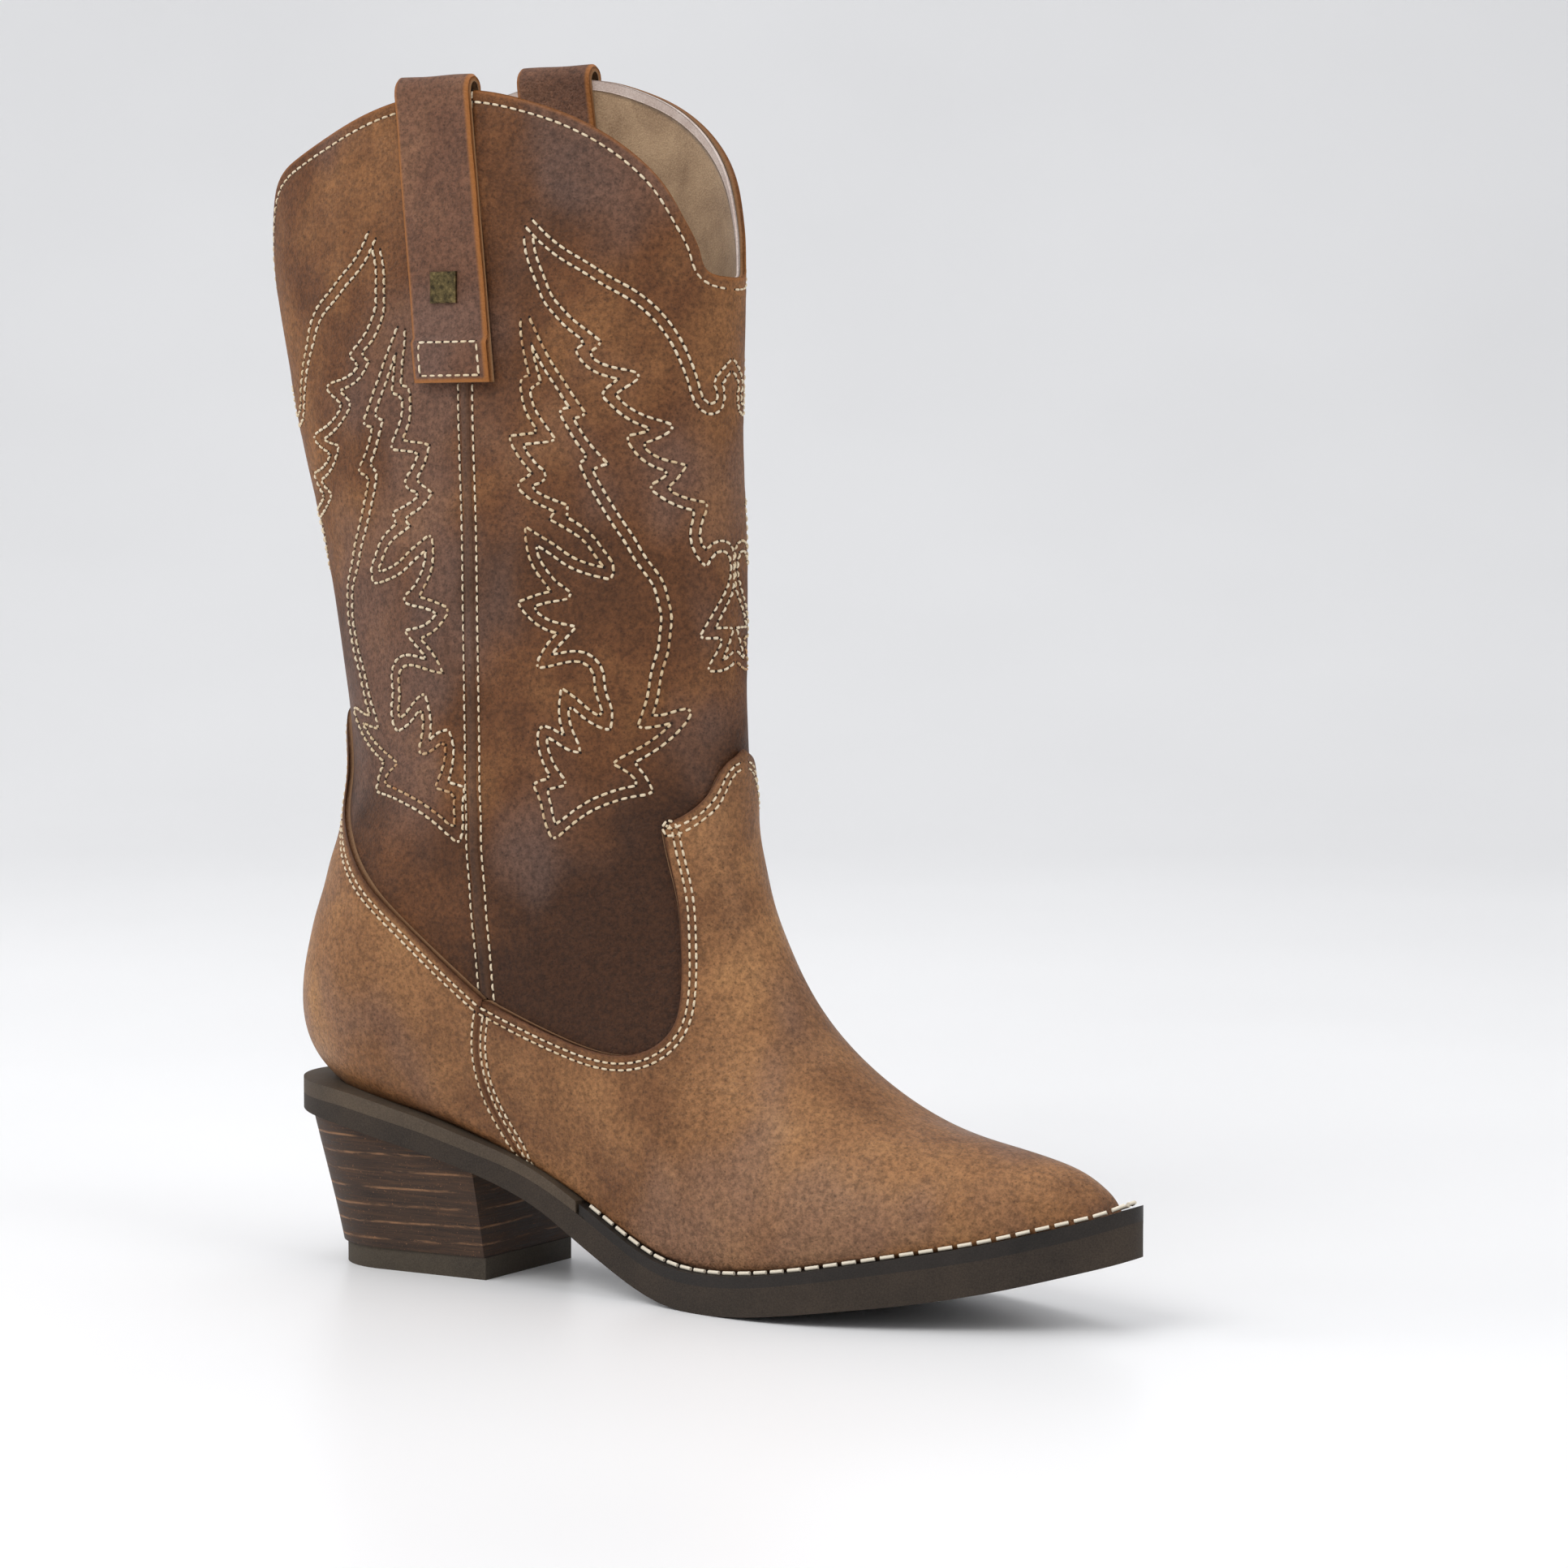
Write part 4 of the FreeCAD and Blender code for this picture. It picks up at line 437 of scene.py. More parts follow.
def relaxed(grid, passes=120):
    """A grid with its inner marks evened out, so that its lines never cross."""
    stations = np.arange(len(base.u_knots))
    p = np.stack([np.interp(grid[..., 0], stations, base.u_knots) * MAP_LENGTH,
                  grid[..., 1] * MAP_GIRTH], -1)
    for _ in range(passes):
        over = (p[2:, 1:-1] - p[:-2, 1:-1]) / 2
        down = (p[1:-1, 2:] - p[1:-1, :-2]) / 2
        a = (down ** 2).sum(-1, keepdims=True) + 1e-9
        c = (over ** 2).sum(-1, keepdims=True) + 1e-9
        b = (over * down).sum(-1, keepdims=True)
        twist = (p[2:, 2:] - p[2:, :-2] - p[:-2, 2:] + p[:-2, :-2]) / 4
        goal = (a * (p[2:, 1:-1] + p[:-2, 1:-1]) + c * (p[1:-1, 2:] + p[1:-1, :-2])
                - 2 * b * twist) / (2 * (a + c))
        p[1:-1, 1:-1] = 0.2 * p[1:-1, 1:-1] + 0.8 * goal
    return np.stack([np.interp(p[..., 0] / MAP_LENGTH, base.u_knots, stations),
                     p[..., 1] / MAP_GIRTH], -1)


lap = joined(LAP_BACK, LAP_FRONT, LAP_TONGUE)
lap_below = lap - [0, LAP_WIDTH]
lap_below[:, 0] += LAP_FORWARD * np.clip((lap[:, 0] + 55) / 30, -0.35, 1.0)
seam = joined(SIDE_SEAM, [SIDE_SEAM[-1], (-48.0, 70), (-46.5, 55), (-45, 40)])
seam_front, seam_back = seam + [0.3, 0], seam - [0.3, 0]
vamp_seam = joined(VAMP_SEAM)


# ---------------------------------------------------------------- meshes
def new_piece(name, points, faces, material, smooth_shading=True):
    """A mesh object from points in millimetres."""
    mesh = bpy.data.meshes.new(name)
    points = np.asarray(points, np.float32) * MM
    faces = np.asarray(faces, np.int32)
    sides = faces.shape[1]
    mesh.vertices.add(len(points))
    mesh.vertices.foreach_set("co", points.ravel())
    mesh.loops.add(faces.size)
    mesh.loops.foreach_set("vertex_index", faces.ravel())
    mesh.polygons.add(len(faces))
    mesh.polygons.foreach_set("loop_start", np.arange(0, faces.size, sides, dtype=np.int32))
    mesh.update(calc_edges=True)
    mesh.validate()
    if smooth_shading:
        mesh.shade_smooth()
    piece = bpy.data.objects.new(name, mesh)
    bpy.context.scene.collection.objects.link(piece)
    mesh.materials.append(material)
    return piece


def give(piece, name, values):
    """Store one number per vertex under a name that the materials read."""
    attribute = piece.data.attributes.new(name, "FLOAT", "POINT")
    attribute.data.foreach_set("value", np.asarray(values, np.float32))


def sheet_faces(columns, rows, start, flip):
    k = np.arange(columns - 1)[:, None] * rows + np.arange(rows - 1)[None] + start
    faces = np.stack([k, k + 1, k + rows + 1, k + rows], -1).reshape(-1, 4)
    return faces[:, ::-1] if flip else faces


def rim(columns, rows):
    """Indices round the border of a grid."""
    top = [c * rows for c in range(columns)]
    right = [(columns - 1) * rows + r for r in range(1, rows)]
    bottom = [c * rows + rows - 1 for c in range(columns - 2, -1, -1)]
    left = list(range(rows - 2, 0, -1))
    return np.array(top + right + bottom + left)


def border_distance(points):
    """Distance from each point of a grid to the grid's nearest border, along the grid."""
    across = np.linalg.norm(np.diff(points, axis=0), axis=2)
    down = np.linalg.norm(np.diff(points, axis=1), axis=2)
    from_left = np.concatenate([np.zeros((1, points.shape[1])), np.cumsum(across, 0)])
    from_top = np.concatenate([np.zeros((points.shape[0], 1)), np.cumsum(down, 1)], 1)
    return np.minimum(np.minimum(from_left, from_left[-1:] - from_left),
                      np.minimum(from_top, from_top[:, -1:] - from_top))


def leather(name, outside, inside, material, replaced, press=None, radius=0.55):
    """A piece of leather between two grids of points, its cut edges rounded."""
    columns, rows = outside.shape[:2]
    away = outside - inside
    thick = np.linalg.norm(away, axis=2, keepdims=True)
    away = away / np.maximum(thick, 1e-6)
    edge = border_distance(outside)
    round_off = np.clip(radius - edge, 0, radius)
    drop = radius - np.sqrt(np.maximum(radius ** 2 - round_off ** 2, 0))
    top = outside - away * drop[..., None]
    if press is not None:
        top = top + away * press[..., None]
    count = columns * rows
    points = np.concatenate([top.reshape(-1, 3), inside.reshape(-1, 3)])
    loop = rim(columns, rows)
    after = np.roll(loop, -1)
    wall = np.stack([loop, after, after + count, loop + count], 1)
    faces = np.concatenate([sheet_faces(columns, rows, 0, False),
                            sheet_faces(columns, rows, count, True), wall[:, ::-1]])
    corners = points[faces]
    volume = np.einsum("nk,nk->n", corners[:, 0] - points[0],
                       np.cross(corners[:, 1] - corners[:, 0], corners[:, 2] - corners[:, 0])
                       + np.cross(corners[:, 2] - corners[:, 0], corners[:, 3] - corners[:, 0]))
    if volume.sum() < 0:
        faces = faces[:, ::-1]
    piece = new_piece(name, points, faces, material)
    give(piece, "edge", np.concatenate([edge.ravel(), np.zeros(count)]))
    give(piece, "inner", np.concatenate([np.zeros(count), np.ones(count)]))
    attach(piece, "root")
    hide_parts(replaced)
    return piece


# ---------------------------------------------------------------- places by girth and height
HEIGHTS = np.arange(96.0, 346.0, 3.0)
ROUND = np.linspace(0, 1, 241)
shaft_form = Form(SHAFT_INSET)
tall_u = np.linspace(0, 12, 400)
column_z = shaft_form.at(tall_u[:, None] + 0 * ROUND, ROUND + 0 * tall_u[:, None])[..., 2]
LEVEL_U = np.array([[np.interp(-h, -column_z[:, k], tall_u) for k in range(len(ROUND))]
                    for h in HEIGHTS])
level_points = shaft_form.at(LEVEL_U, ROUND + 0 * LEVEL_U)
LEVEL_RUN = np.concatenate([np.zeros((len(HEIGHTS), 1)), np.cumsum(np.linalg.norm(
    np.diff(level_points, axis=1), axis=2), 1)], 1)
SEAM_RUN, FRONT_RUN, BACK_RUN = {}, {}, {}
for side in (OUT, IN):
    half = slice(0, 121) if side == OUT else slice(120, 241)
    runs = []
    for row, height in enumerate(HEIGHTS):
        x = np.interp(-height, -seam[:, 1], seam[:, 0])
        xs, lengths = level_points[row, half, 0], LEVEL_RUN[row, half]
        order = np.argsort(xs)
        runs.append(np.interp(x, xs[order], lengths[order]))
    SEAM_RUN[side] = np.array(runs)
    FRONT_RUN[side] = np.abs(LEVEL_RUN[:, 120] - SEAM_RUN[side])
    end = LEVEL_RUN[:, 0] if side == OUT else LEVEL_RUN[:, -1]
    BACK_RUN[side] = np.abs(end - SEAM_RUN[side])


def shaft_marks(girth, height, side):
    """(u, v) of points so far forward of the side seam, round the shaft, and so high."""
    row = np.interp(height, HEIGHTS, np.arange(len(HEIGHTS)))
    low = np.minimum(row.astype(int), len(HEIGHTS) - 2)
    share = (row - low)[:, None]
    runs = LEVEL_RUN[low] * (1 - share) + LEVEL_RUN[low + 1] * share
    us = LEVEL_U[low] * (1 - share) + LEVEL_U[low + 1] * share
    start = np.interp(height, HEIGHTS, SEAM_RUN[side])
    goal = start + girth * side
    total = runs[:, -1]
    goal = np.where(goal < 0, goal + total, np.where(goal > total, goal - total, goal))
    v = np.array([np.interp(g, r, ROUND) for g, r in zip(goal, runs)])
    u = np.array([np.interp(w, ROUND, line) for w, line in zip(v, us)])
    return np.stack([u, v], 1)


# ---------------------------------------------------------------- materials
def tint(red, green, blue):
    """A colour given as 0-255 screen values."""
    linear = [c / 255 / 12.92 if c < 10.3 else ((c / 255 + 0.055) / 1.055) ** 2.4
              for c in (red, green, blue)]
    return (*linear, 1.0)


class Finish:
    """A procedural material, built node by node."""

    def __init__(self, name, **constants):
        self.material = bpy.data.materials.new(name)
        self.material.use_nodes = True
        self.tree = self.material.node_tree
        self.shader = self.tree.nodes["Principled BSDF"]
        self.shader.inputs["Specular IOR Level"].default_value = 0.26
        for key, value in constants.items():
            self.shader.inputs[key.replace("_", " ")].default_value = value
        self.place = self.add("ShaderNodeTexCoord").outputs["Object"]

    def add(self, kind, inputs=(), **settings):
        node = self.tree.nodes.new(kind)
        for key, value in settings.items():
            setattr(node, key, value)
        for key, value in dict(inputs).items():
            socket = node.inputs[key]
            if isinstance(value, bpy.types.NodeSocket):
                self.tree.links.new(value, socket)
            else:
                socket.default_value = value
        return node

    def noise(self, scale, detail=2.0, rough=0.5, place=None, warp=0.0):
        """Noise about 0.5, scale in bumps per metre."""
        return self.add("ShaderNodeTexNoise", {"Vector": place or self.place, "Scale": scale,
                        "Detail": detail, "Roughness": rough, "Distortion": warp}).outputs["Fac"]

    def stretched(self, x, y, z):
        return self.add("ShaderNodeMapping", {"Vector": self.place, "Scale": (x, y, z)}
                        ).outputs["Vector"]

    def cells(self, scale, feature="F1"):
        return self.add("ShaderNodeTexVoronoi", {"Vector": self.place, "Scale": scale},
                        feature=feature).outputs["Distance"]

    def math(self, operation, a, b=0.0, c=0.0):
        return self.add("ShaderNodeMath", {0: a, 1: b, 2: c}, operation=operation).outputs[0]

    def remap(self, value, low, high, to_low=0.0, to_high=1.0):
        return self.add("ShaderNodeMapRange", {"Value": value, "From Min": low, "From Max": high,
                        "To Min": to_low, "To Max": to_high},
                        interpolation_type="SMOOTHSTEP").outputs["Result"]

    def stored(self, name):
        return self.add("ShaderNodeAttribute", attribute_name=name).outputs["Fac"]

    def ramp(self, value, stops):
        node = self.add("ShaderNodeValToRGB", {"Fac": value})
        elements = node.color_ramp.elements
        while len(elements) < len(stops):
            elements.new(0.5)
        for element, (at, colour) in zip(elements, stops):
            element.position, element.color = at, colour
        return node.outputs["Color"]

    def mix(self, share, a, b, how="MIX"):
        node = self.add("ShaderNodeMix", data_type="RGBA", blend_type=how)
        for socket, value in ((node.inputs["Factor"], share), (node.inputs[6], a),
                              (node.inputs[7], b)):
            if isinstance(value, bpy.types.NodeSocket):
                self.tree.links.new(value, socket)
            else:
                socket.default_value = value
        return node.outputs[2]

    def bump(self, height, distance, strength=1.0, under=None):
        inputs = {"Height": height, "Distance": distance, "Strength": strength}
        if under is not None:
            inputs["Normal"] = under
        return self.add("ShaderNodeBump", inputs).outputs["Normal"]

    def wire(self, colour=None, rough=None, normal=None, metal=None):
        for key, value in (("Base Color", colour), ("Roughness", rough), ("Normal", normal),
                           ("Metallic", metal)):
            if value is not None:
                self.tree.links.new(value, self.shader.inputs[key])
        return self.material


def pull_up_leather(name, dark, brown, tan, bright, raw, wear=0.5, shine=0.50):
    """Oiled leather whose colour lightens in patches where it has been pulled."""
    f = Finish(name, IOR=1.45)
    clouds = f.noise(13, 3, 0.55, warp=0.6)
    patches = f.noise(38, 4, 0.6, warp=0.8)
    brushed = f.noise(1, 3, 0.6, place=f.stretched(60, 60, 22))
    tone = f.math("MULTIPLY_ADD", clouds, 1.05, -0.16)
    tone = f.math("MULTIPLY_ADD", patches, 0.42, tone)
    tone = f.math("MULTIPLY_ADD", brushed, 0.18, tone)
    tone = f.math("SUBTRACT", tone, 0.30)
    # the stored tone includes painted shade that darkens the toe of the vamp
    tone = f.math("ADD", tone, f.stored("tone"))
    colour = f.ramp(tone, [(0.16, dark), (0.40, brown), (0.64, tan), (0.92, bright)])
    cool = f.remap(f.noise(21, 2, 0.5, place=f.stretched(1, 1, 0.7)), 0.50, 0.66, 0.0, 0.45)
    colour = f.mix(cool, colour, tint(112, 88, 78))
    speckle = f.remap(f.noise(620, 6, 0.78), 0.32, 0.68, 0.58, 1.36)
    pores = f.remap(f.cells(760), 0.05, 0.36, 0.66, 1.05)
    grain = f.math("MULTIPLY", speckle, pores)
    grey = f.add("ShaderNodeCombineColor", {"Red": grain, "Green": grain, "Blue": grain})
    colour = f.mix(1.0, colour, grey.outputs["Color"], "MULTIPLY")
    rub = f.math("MULTIPLY", f.remap(f.stored("edge"), 1.7, 0.35), wear)
    colour = f.mix(rub, colour, raw)
    colour = f.mix(f.stored("inner"), colour, tint(128, 98, 70))
    rough = f.math("ADD", f.remap(f.noise(60, 3, 0.6), 0.3, 0.7, shine, shine + 0.16),
                   f.math("MULTIPLY", f.stored("inner"), 0.3))
    creases = f.cells(700, "DISTANCE_TO_EDGE")
    normal = f.bump(f.remap(creases, 0.0, 0.25), 0.00014, 0.5)
    normal = f.bump(f.noise(900, 4, 0.7), 0.00020, 0.6, normal)
    normal = f.bump(f.noise(120, 3, 0.6, place=f.stretched(1, 1, 2.2)), 0.0005, 0.22, normal)
    return f.wire(colour, rough, normal)


def thread_finish():
    f = Finish("waxed_thread")
    strand = f.noise(2600, 1, 0.5)
    colour = f.ramp(f.stored("thread"), [(0.0, tint(232, 216, 188)), (0.42, tint(214, 190, 152)),
                                         (0.68, tint(178, 128, 84)), (1.0, tint(122, 82, 52))])
    shade = f.remap(strand, 0.3, 0.7, 0.82, 1.08)
    grey = f.add("ShaderNodeCombineColor", {"Red": shade, "Green": shade, "Blue": shade})
    colour = f.mix(1.0, colour, grey.outputs["Color"], "MULTIPLY")
    return f.wire(colour, f.remap(strand, 0.2, 0.8, 0.5, 0.72), f.bump(strand, 0.0002, 0.6))


# Painted shadow: near-black discs standing in for the shade inside each needle hole.
def hole_shadow_finish():
    f = Finish("needle_hole_shadow")
    colour = f.ramp(f.noise(900), [(0.35, tint(30, 20, 14)), (0.7, tint(54, 36, 24))])
    return f.wire(colour, f.remap(f.noise(700), 0.3, 0.7, 0.7, 0.9))


def suede(name, light, dark, nap=0.9):
    f = Finish(name, Sheen_Weight=0.25, Sheen_Roughness=0.5)
    fibres = f.noise(1800, 3, 0.7)
    patches = f.noise(70, 3, 0.6, warp=0.5)
    colour = f.ramp(f.math("MULTIPLY_ADD", fibres, 0.5, f.math("MULTIPLY", patches, 0.5)),
                    [(0.36, dark), (0.62, light)])
    normal = f.bump(fibres, 0.0003, nap)
    return f.wire(colour, f.remap(patches, 0.3, 0.7, 0.82, 0.96), normal)


def rubber(name, base, light, speck=0.5, rough=0.62):
    """Matte rubber with a fine speckle and faint mould marks."""
    f = Finish(name)
    fine = f.noise(2200, 2, 0.7)
    cloud = f.noise(45, 3, 0.6)
    value = f.math("MULTIPLY_ADD", fine, speck, f.math("MULTIPLY", cloud, 1 - speck))
    colour = f.ramp(value, [(0.34, base), (0.66, light)])
    normal = f.bump(fine, 0.00012, 0.5)
    normal = f.bump(f.noise(1, 2, 0.5, place=f.stretched(30, 30, 700)), 0.0001, 0.25, normal)
    return f.wire(colour, f.remap(cloud, 0.3, 0.7, rough, rough + 0.14), normal)


def stacked_heel():
    """Layers of brown heel leather, with pale irregular joints between them."""
    f = Finish("stacked_heel")
    level = f.add("ShaderNodeSeparateXYZ", {"Vector": f.place})
    drift = f.math("MULTIPLY", f.noise(1, 3, 0.6, place=f.stretched(26, 26, 60)), 0.0016)
    height = f.math("ADD", f.math("MULTIPLY_ADD", level.outputs["X"], -0.03,
                                  level.outputs["Z"]), drift)
    layer = f.math("FRACT", f.math("MULTIPLY", height, 1 / 0.0052))
    joint = f.remap(f.math("ABSOLUTE", f.math("SUBTRACT", layer, 0.5)), 0.10, 0.02)
    broken = f.remap(f.noise(1, 4, 0.7, place=f.stretched(70, 70, 500)), 0.40, 0.62)
    joint = f.math("MULTIPLY", joint, broken)
    strand = f.noise(1, 4, 0.7, place=f.stretched(60, 60, 1500))
    colour = f.ramp(strand, [(0.30, tint(42, 31, 24)), (0.55, tint(68, 50, 38)),
                             (0.78, tint(98, 70, 50))])
    colour = f.mix(joint, colour, tint(142, 104, 74))
    speck = f.remap(f.noise(1600, 2, 0.8), 0.62, 0.74, 0.0, 0.6)
    colour = f.mix(speck, colour, tint(160, 110, 76))
    normal = f.bump(joint, 0.0002, 0.5, f.bump(strand, 0.00025, 0.6))
    return f.wire(colour, f.remap(strand, 0.3, 0.7, 0.5, 0.7), normal)


def antique_brass():
    f = Finish("antique_brass", Metallic=1.0)
    grime = f.noise(420, 4, 0.7)
    colour = f.ramp(grime, [(0.36, tint(46, 42, 34)), (0.55, tint(112, 98, 66)),
                            (0.72, tint(176, 154, 104))])
    return f.wire(colour, f.remap(grime, 0.3, 0.7, 0.55, 0.3), f.bump(grime, 0.0002, 0.5))


def floor_finish():
    f = Finish("studio_floor")
    cloud = f.noise(3, 2, 0.5)
    colour = f.ramp(cloud, [(0.3, tint(246, 246, 246)), (0.7, tint(250, 250, 250))])
    return f.wire(colour, f.remap(cloud, 0.3, 0.7, 0.30, 0.36))


def steel():
    f = Finish("bright_steel", Metallic=1.0)
    brushed = f.noise(1, 3, 0.6, place=f.stretched(900, 60, 60))
    colour = f.ramp(brushed, [(0.3, tint(120, 120, 122)), (0.7, tint(176, 176, 178))])
    return f.wire(colour, f.remap(brushed, 0.3, 0.7, 0.32, 0.5), f.bump(brushed, 0.0001, 0.4))


upper = pull_up_leather("shaft_leather", tint(62, 37, 21), tint(98, 61, 35),
                        tint(134, 91, 54), tint(176, 122, 66), tint(156, 96, 44))
foot = pull_up_leather("vamp_leather", tint(104, 68, 42), tint(142, 100, 64),
                       tint(166, 122, 78), tint(190, 142, 90), tint(88, 52, 30), 0.75, 0.42)
strap_skin = pull_up_leather("strap_leather", tint(76, 50, 38), tint(104, 71, 53),
                             tint(130, 93, 68), tint(160, 115, 72), tint(168, 106, 50), 0.8)
piping_skin = pull_up_leather("piping_leather", tint(62, 42, 30), tint(88, 60, 42),
                              tint(110, 78, 54), tint(136, 98, 66), tint(96, 64, 42), 0.4)
thread = thread_finish()
hole_shadow = hole_shadow_finish()
lining_skin = suede("lining_suede", tint(190, 160, 126), tint(142, 113, 84))
tape_cloth = suede("stay_tape", tint(222, 206, 196), tint(186, 164, 152), 0.6)
CAD_FINISH = {
    "outsole": rubber("sole_rubber", tint(38, 31, 25), tint(66, 56, 47)),
    "heel_rand": rubber("rand_rubber", tint(62, 52, 42), tint(92, 79, 65)),
    "top_lift": rubber("lift_rubber", tint(52, 45, 37), tint(80, 71, 59)),
    "welt": rubber("welt_rubber", tint(26, 23, 20), tint(50, 44, 40), 0.4, 0.5),
    "heel_block": stacked_heel(),
    "strap_badge": antique_brass(),
    "steel_shank": steel(),
    "heel_screw": steel(),
    "heel_nails": steel(),
    "top_lift_pins": steel(),
    "insole_board": suede("insole_fibre", tint(168, 140, 104), tint(126, 100, 70), 0.4),
    "sock_lining": suede("sock_leather", tint(160, 128, 92), tint(128, 98, 66), 0.5),
    "heel_pad": suede("pad_cover", tint(150, 120, 88), tint(118, 90, 62), 0.6),
    "bottom_filler": rubber("cork_filler", tint(96, 66, 40), tint(158, 118, 74), 0.7, 0.8),
    "counter_stiffener": suede("stiffener_board", tint(196, 180, 148), tint(160, 142, 110), 0.4),
    "toe_puff": suede("puff_board", tint(190, 176, 148), tint(156, 140, 112), 0.4),
    "vamp_interlining": suede("interlining_cloth", tint(210, 204, 190), tint(178, 170, 152)),
}
for node_name, finish in CAD_FINISH.items():
    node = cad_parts[node_name]
    node.data.materials.clear()
    node.data.materials.append(finish)


# ---------------------------------------------------------------- stitch rows
def run_of(points):
    return np.concatenate([[0], np.cumsum(np.linalg.norm(np.diff(points, axis=0), axis=1))])


def shifted(form, marks, distance, steps=4):
    """Marks moved sideways on the surface; positive is to the left looking along them."""
    for _ in range(steps):
        u, v = marks[:, 0], marks[:, 1]
        here = form.at(u, v)
        du = (form.at(np.minimum(u + 0.01, TIP), v) - here) / 0.01
        dv = (form.at(u, v + 0.001) - here) / 0.001
        ahead = np.gradient(here, axis=0)
        normal = form.normal(u, v)
        aside = np.cross(normal, ahead)
        aside *= distance / steps / np.maximum(np.linalg.norm(aside, axis=1), 1e-9)[:, None]
        a, b, c = (du * du).sum(1), (du * dv).sum(1), (dv * dv).sum(1)
        p, q = (du * aside).sum(1), (dv * aside).sum(1)
        det = np.maximum(a * c - b * b, 1e-9)
        marks = marks + np.stack([(c * p - b * q) / det, (a * q - b * p) / det], 1)
    return marks


class Row:
    """A row of stitches: points on the surface, the way out of it, and how it is sewn."""

    def __init__(self, points, normals, pitch=3.0, radius=0.34, sink=0.16):
        self.points, self.normals = points, normals
        self.pitch, self.radius, self.sink = pitch, radius, sink


def row_on(form, marks, **how):
    points = form.at(marks[:, 0], marks[:, 1])
    return Row(points, form.normal(marks[:, 0], marks[:, 1]), **how)


STITCH_ALONG = np.array([0.0, 0.13, 0.36, 0.64, 0.87, 1.0])
STITCH_THICK = np.array([0.42, 0.86, 1.0, 1.0, 0.86, 0.42])
STITCH_HIGH = np.array([-0.9, 0.25, 0.75, 0.75, 0.25, -0.9])


def sewn(name, rows, seed=1):
    """Every stitch of some rows as one mesh, and dark discs of painted shadow at the needle holes
    as another.
    """
    random = np.random.default_rng(seed)
    starts, ends, ups, radii, threads, holes = [], [], [], [], [], []
    for row in rows:
        run = run_of(row.points)
        count = max(1, int(round(run[-1] / row.pitch)))
        at = np.linspace(0, run[-1], count + 1)
        spots = np.stack([np.interp(at, run, row.points[:, k]) for k in range(3)], 1)
        up = np.stack([np.interp(at, run, row.normals[:, k]) for k in range(3)], 1)
        up /= np.linalg.norm(up, axis=1)[:, None]
        spots = spots - up * row.sink
        along = spots[1:] - spots[:-1]
        length = np.linalg.norm(along, axis=1)[:, None]
        way = along / np.maximum(length, 1e-6)
        gap = np.minimum(0.30 + random.uniform(-0.08, 0.10, (count, 1)), length * 0.2)
        starts.append(spots[:-1] + way * gap)
        ends.append(spots[1:] - way * gap)
        ups.append((up[1:] + up[:-1]) / 2)
        radii.append(row.radius * random.uniform(0.9, 1.12, count))
        drift = np.cumsum(random.normal(0, 0.10, count + 60))
        drift = np.convolve(drift - drift.mean(), np.ones(9) / 9, "same")[30:30 + count]
        shade = 0.12 + 0.5 * np.clip(np.abs(drift) - 0.25, 0, 0.9)
        threads.append(np.clip(shade + random.uniform(-0.1, 0.14, count), 0, 1))
        holes.append((spots, up, row.radius))
    start, end, up = np.concatenate(starts), np.concatenate(ends), np.concatenate(ups)
    radius, shade = np.concatenate(radii), np.concatenate(threads)
    across = np.cross(end - start, up)
    across /= np.maximum(np.linalg.norm(across, axis=1), 1e-9)[:, None]
    angles = np.arange(6) * math.pi / 3
    t = STITCH_ALONG[None, :, None]
    spine = start[:, None] * (1 - t) + end[:, None] * t
    spine = spine + up[:, None] * (radius[:, None] * STITCH_HIGH[None])[..., None]
    wide = (radius[:, None] * STITCH_THICK[None])[..., None, None]
    turn_a = np.cos(angles)[None, None, :, None] * across[:, None, None]
    turn_b = np.sin(angles)[None, None, :, None] * up[:, None, None] * 0.85
    points = spine[:, :, None] + (turn_a + turn_b) * wide
    count = len(start)
    first = np.arange(count)[:, None, None] * 36
    ring_at = np.arange(5)[None, :, None] * 6
    k = np.arange(6)[None, None]
    after = (k + 1) % 6
    faces = np.stack([first + ring_at + k, first + ring_at + after,
                      first + ring_at + 6 + after, first + ring_at + 6 + k], -1)
    piece = new_piece(name, points.reshape(-1, 3), faces.reshape(-1, 4), thread)
    give(piece, "thread", np.repeat(shade, 36))
    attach(piece, "root")
    # painted shadow: a dark disc at each needle hole where the thread goes in
    spots = np.concatenate([h[0] for h in holes])
    up = np.concatenate([h[1] for h in holes])
    size = np.concatenate([np.full(len(h[0]), h[2]) for h in holes])
    side_a = np.cross(up, [0.31, 0.22, 0.92])
    side_a /= np.maximum(np.linalg.norm(side_a, axis=1), 1e-9)[:, None]
    side_b = np.cross(up, side_a)
    middle = spots + up * 0.10
    angles = np.arange(8) * math.pi / 4
    disc = [middle[:, None] + (np.cos(angles)[None, :, None] * side_a[:, None]
                               + np.sin(angles)[None, :, None] * side_b[:, None])
            * size[:, None, None] * reach - up[:, None] * drop
            for reach, drop in ((1.25, 0.16), (0.62, 0.0))]
    points = np.concatenate(disc, 1)
    first = np.arange(len(spots))[:, None] * 16
    k = np.arange(8)[None]
    after = (k + 1) % 8
    sides = np.stack([first + k, first + after, first + 8 + after, first + 8 + k], -1)
    caps = np.stack([first + 8 + np.array([[0, 1, 2, 3]]), first + 8 + np.array([[0, 3, 4, 7]]),
                     first + 8 + np.array([[4, 5, 6, 7]])], 1)
    faces = np.concatenate([sides.reshape(-1, 4), caps.reshape(-1, 4)])
    hole_shadow_discs = new_piece(name + "_hole_shadows", points.reshape(-1, 3), faces, hole_shadow)
    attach(hole_shadow_discs, "root")
    return piece


# ---------------------------------------------------------------- stitch lines of the shaft
def spaced_marks(marks, form, step=0.8):
    """Marks re-spaced evenly in millimetres along a line on a form."""
    run = run_of(form.at(marks[:, 0], marks[:, 1]))
    count = max(3, int(run[-1] / step))
    return along(marks, run / run[-1], np.linspace(0, 1, count + 1))


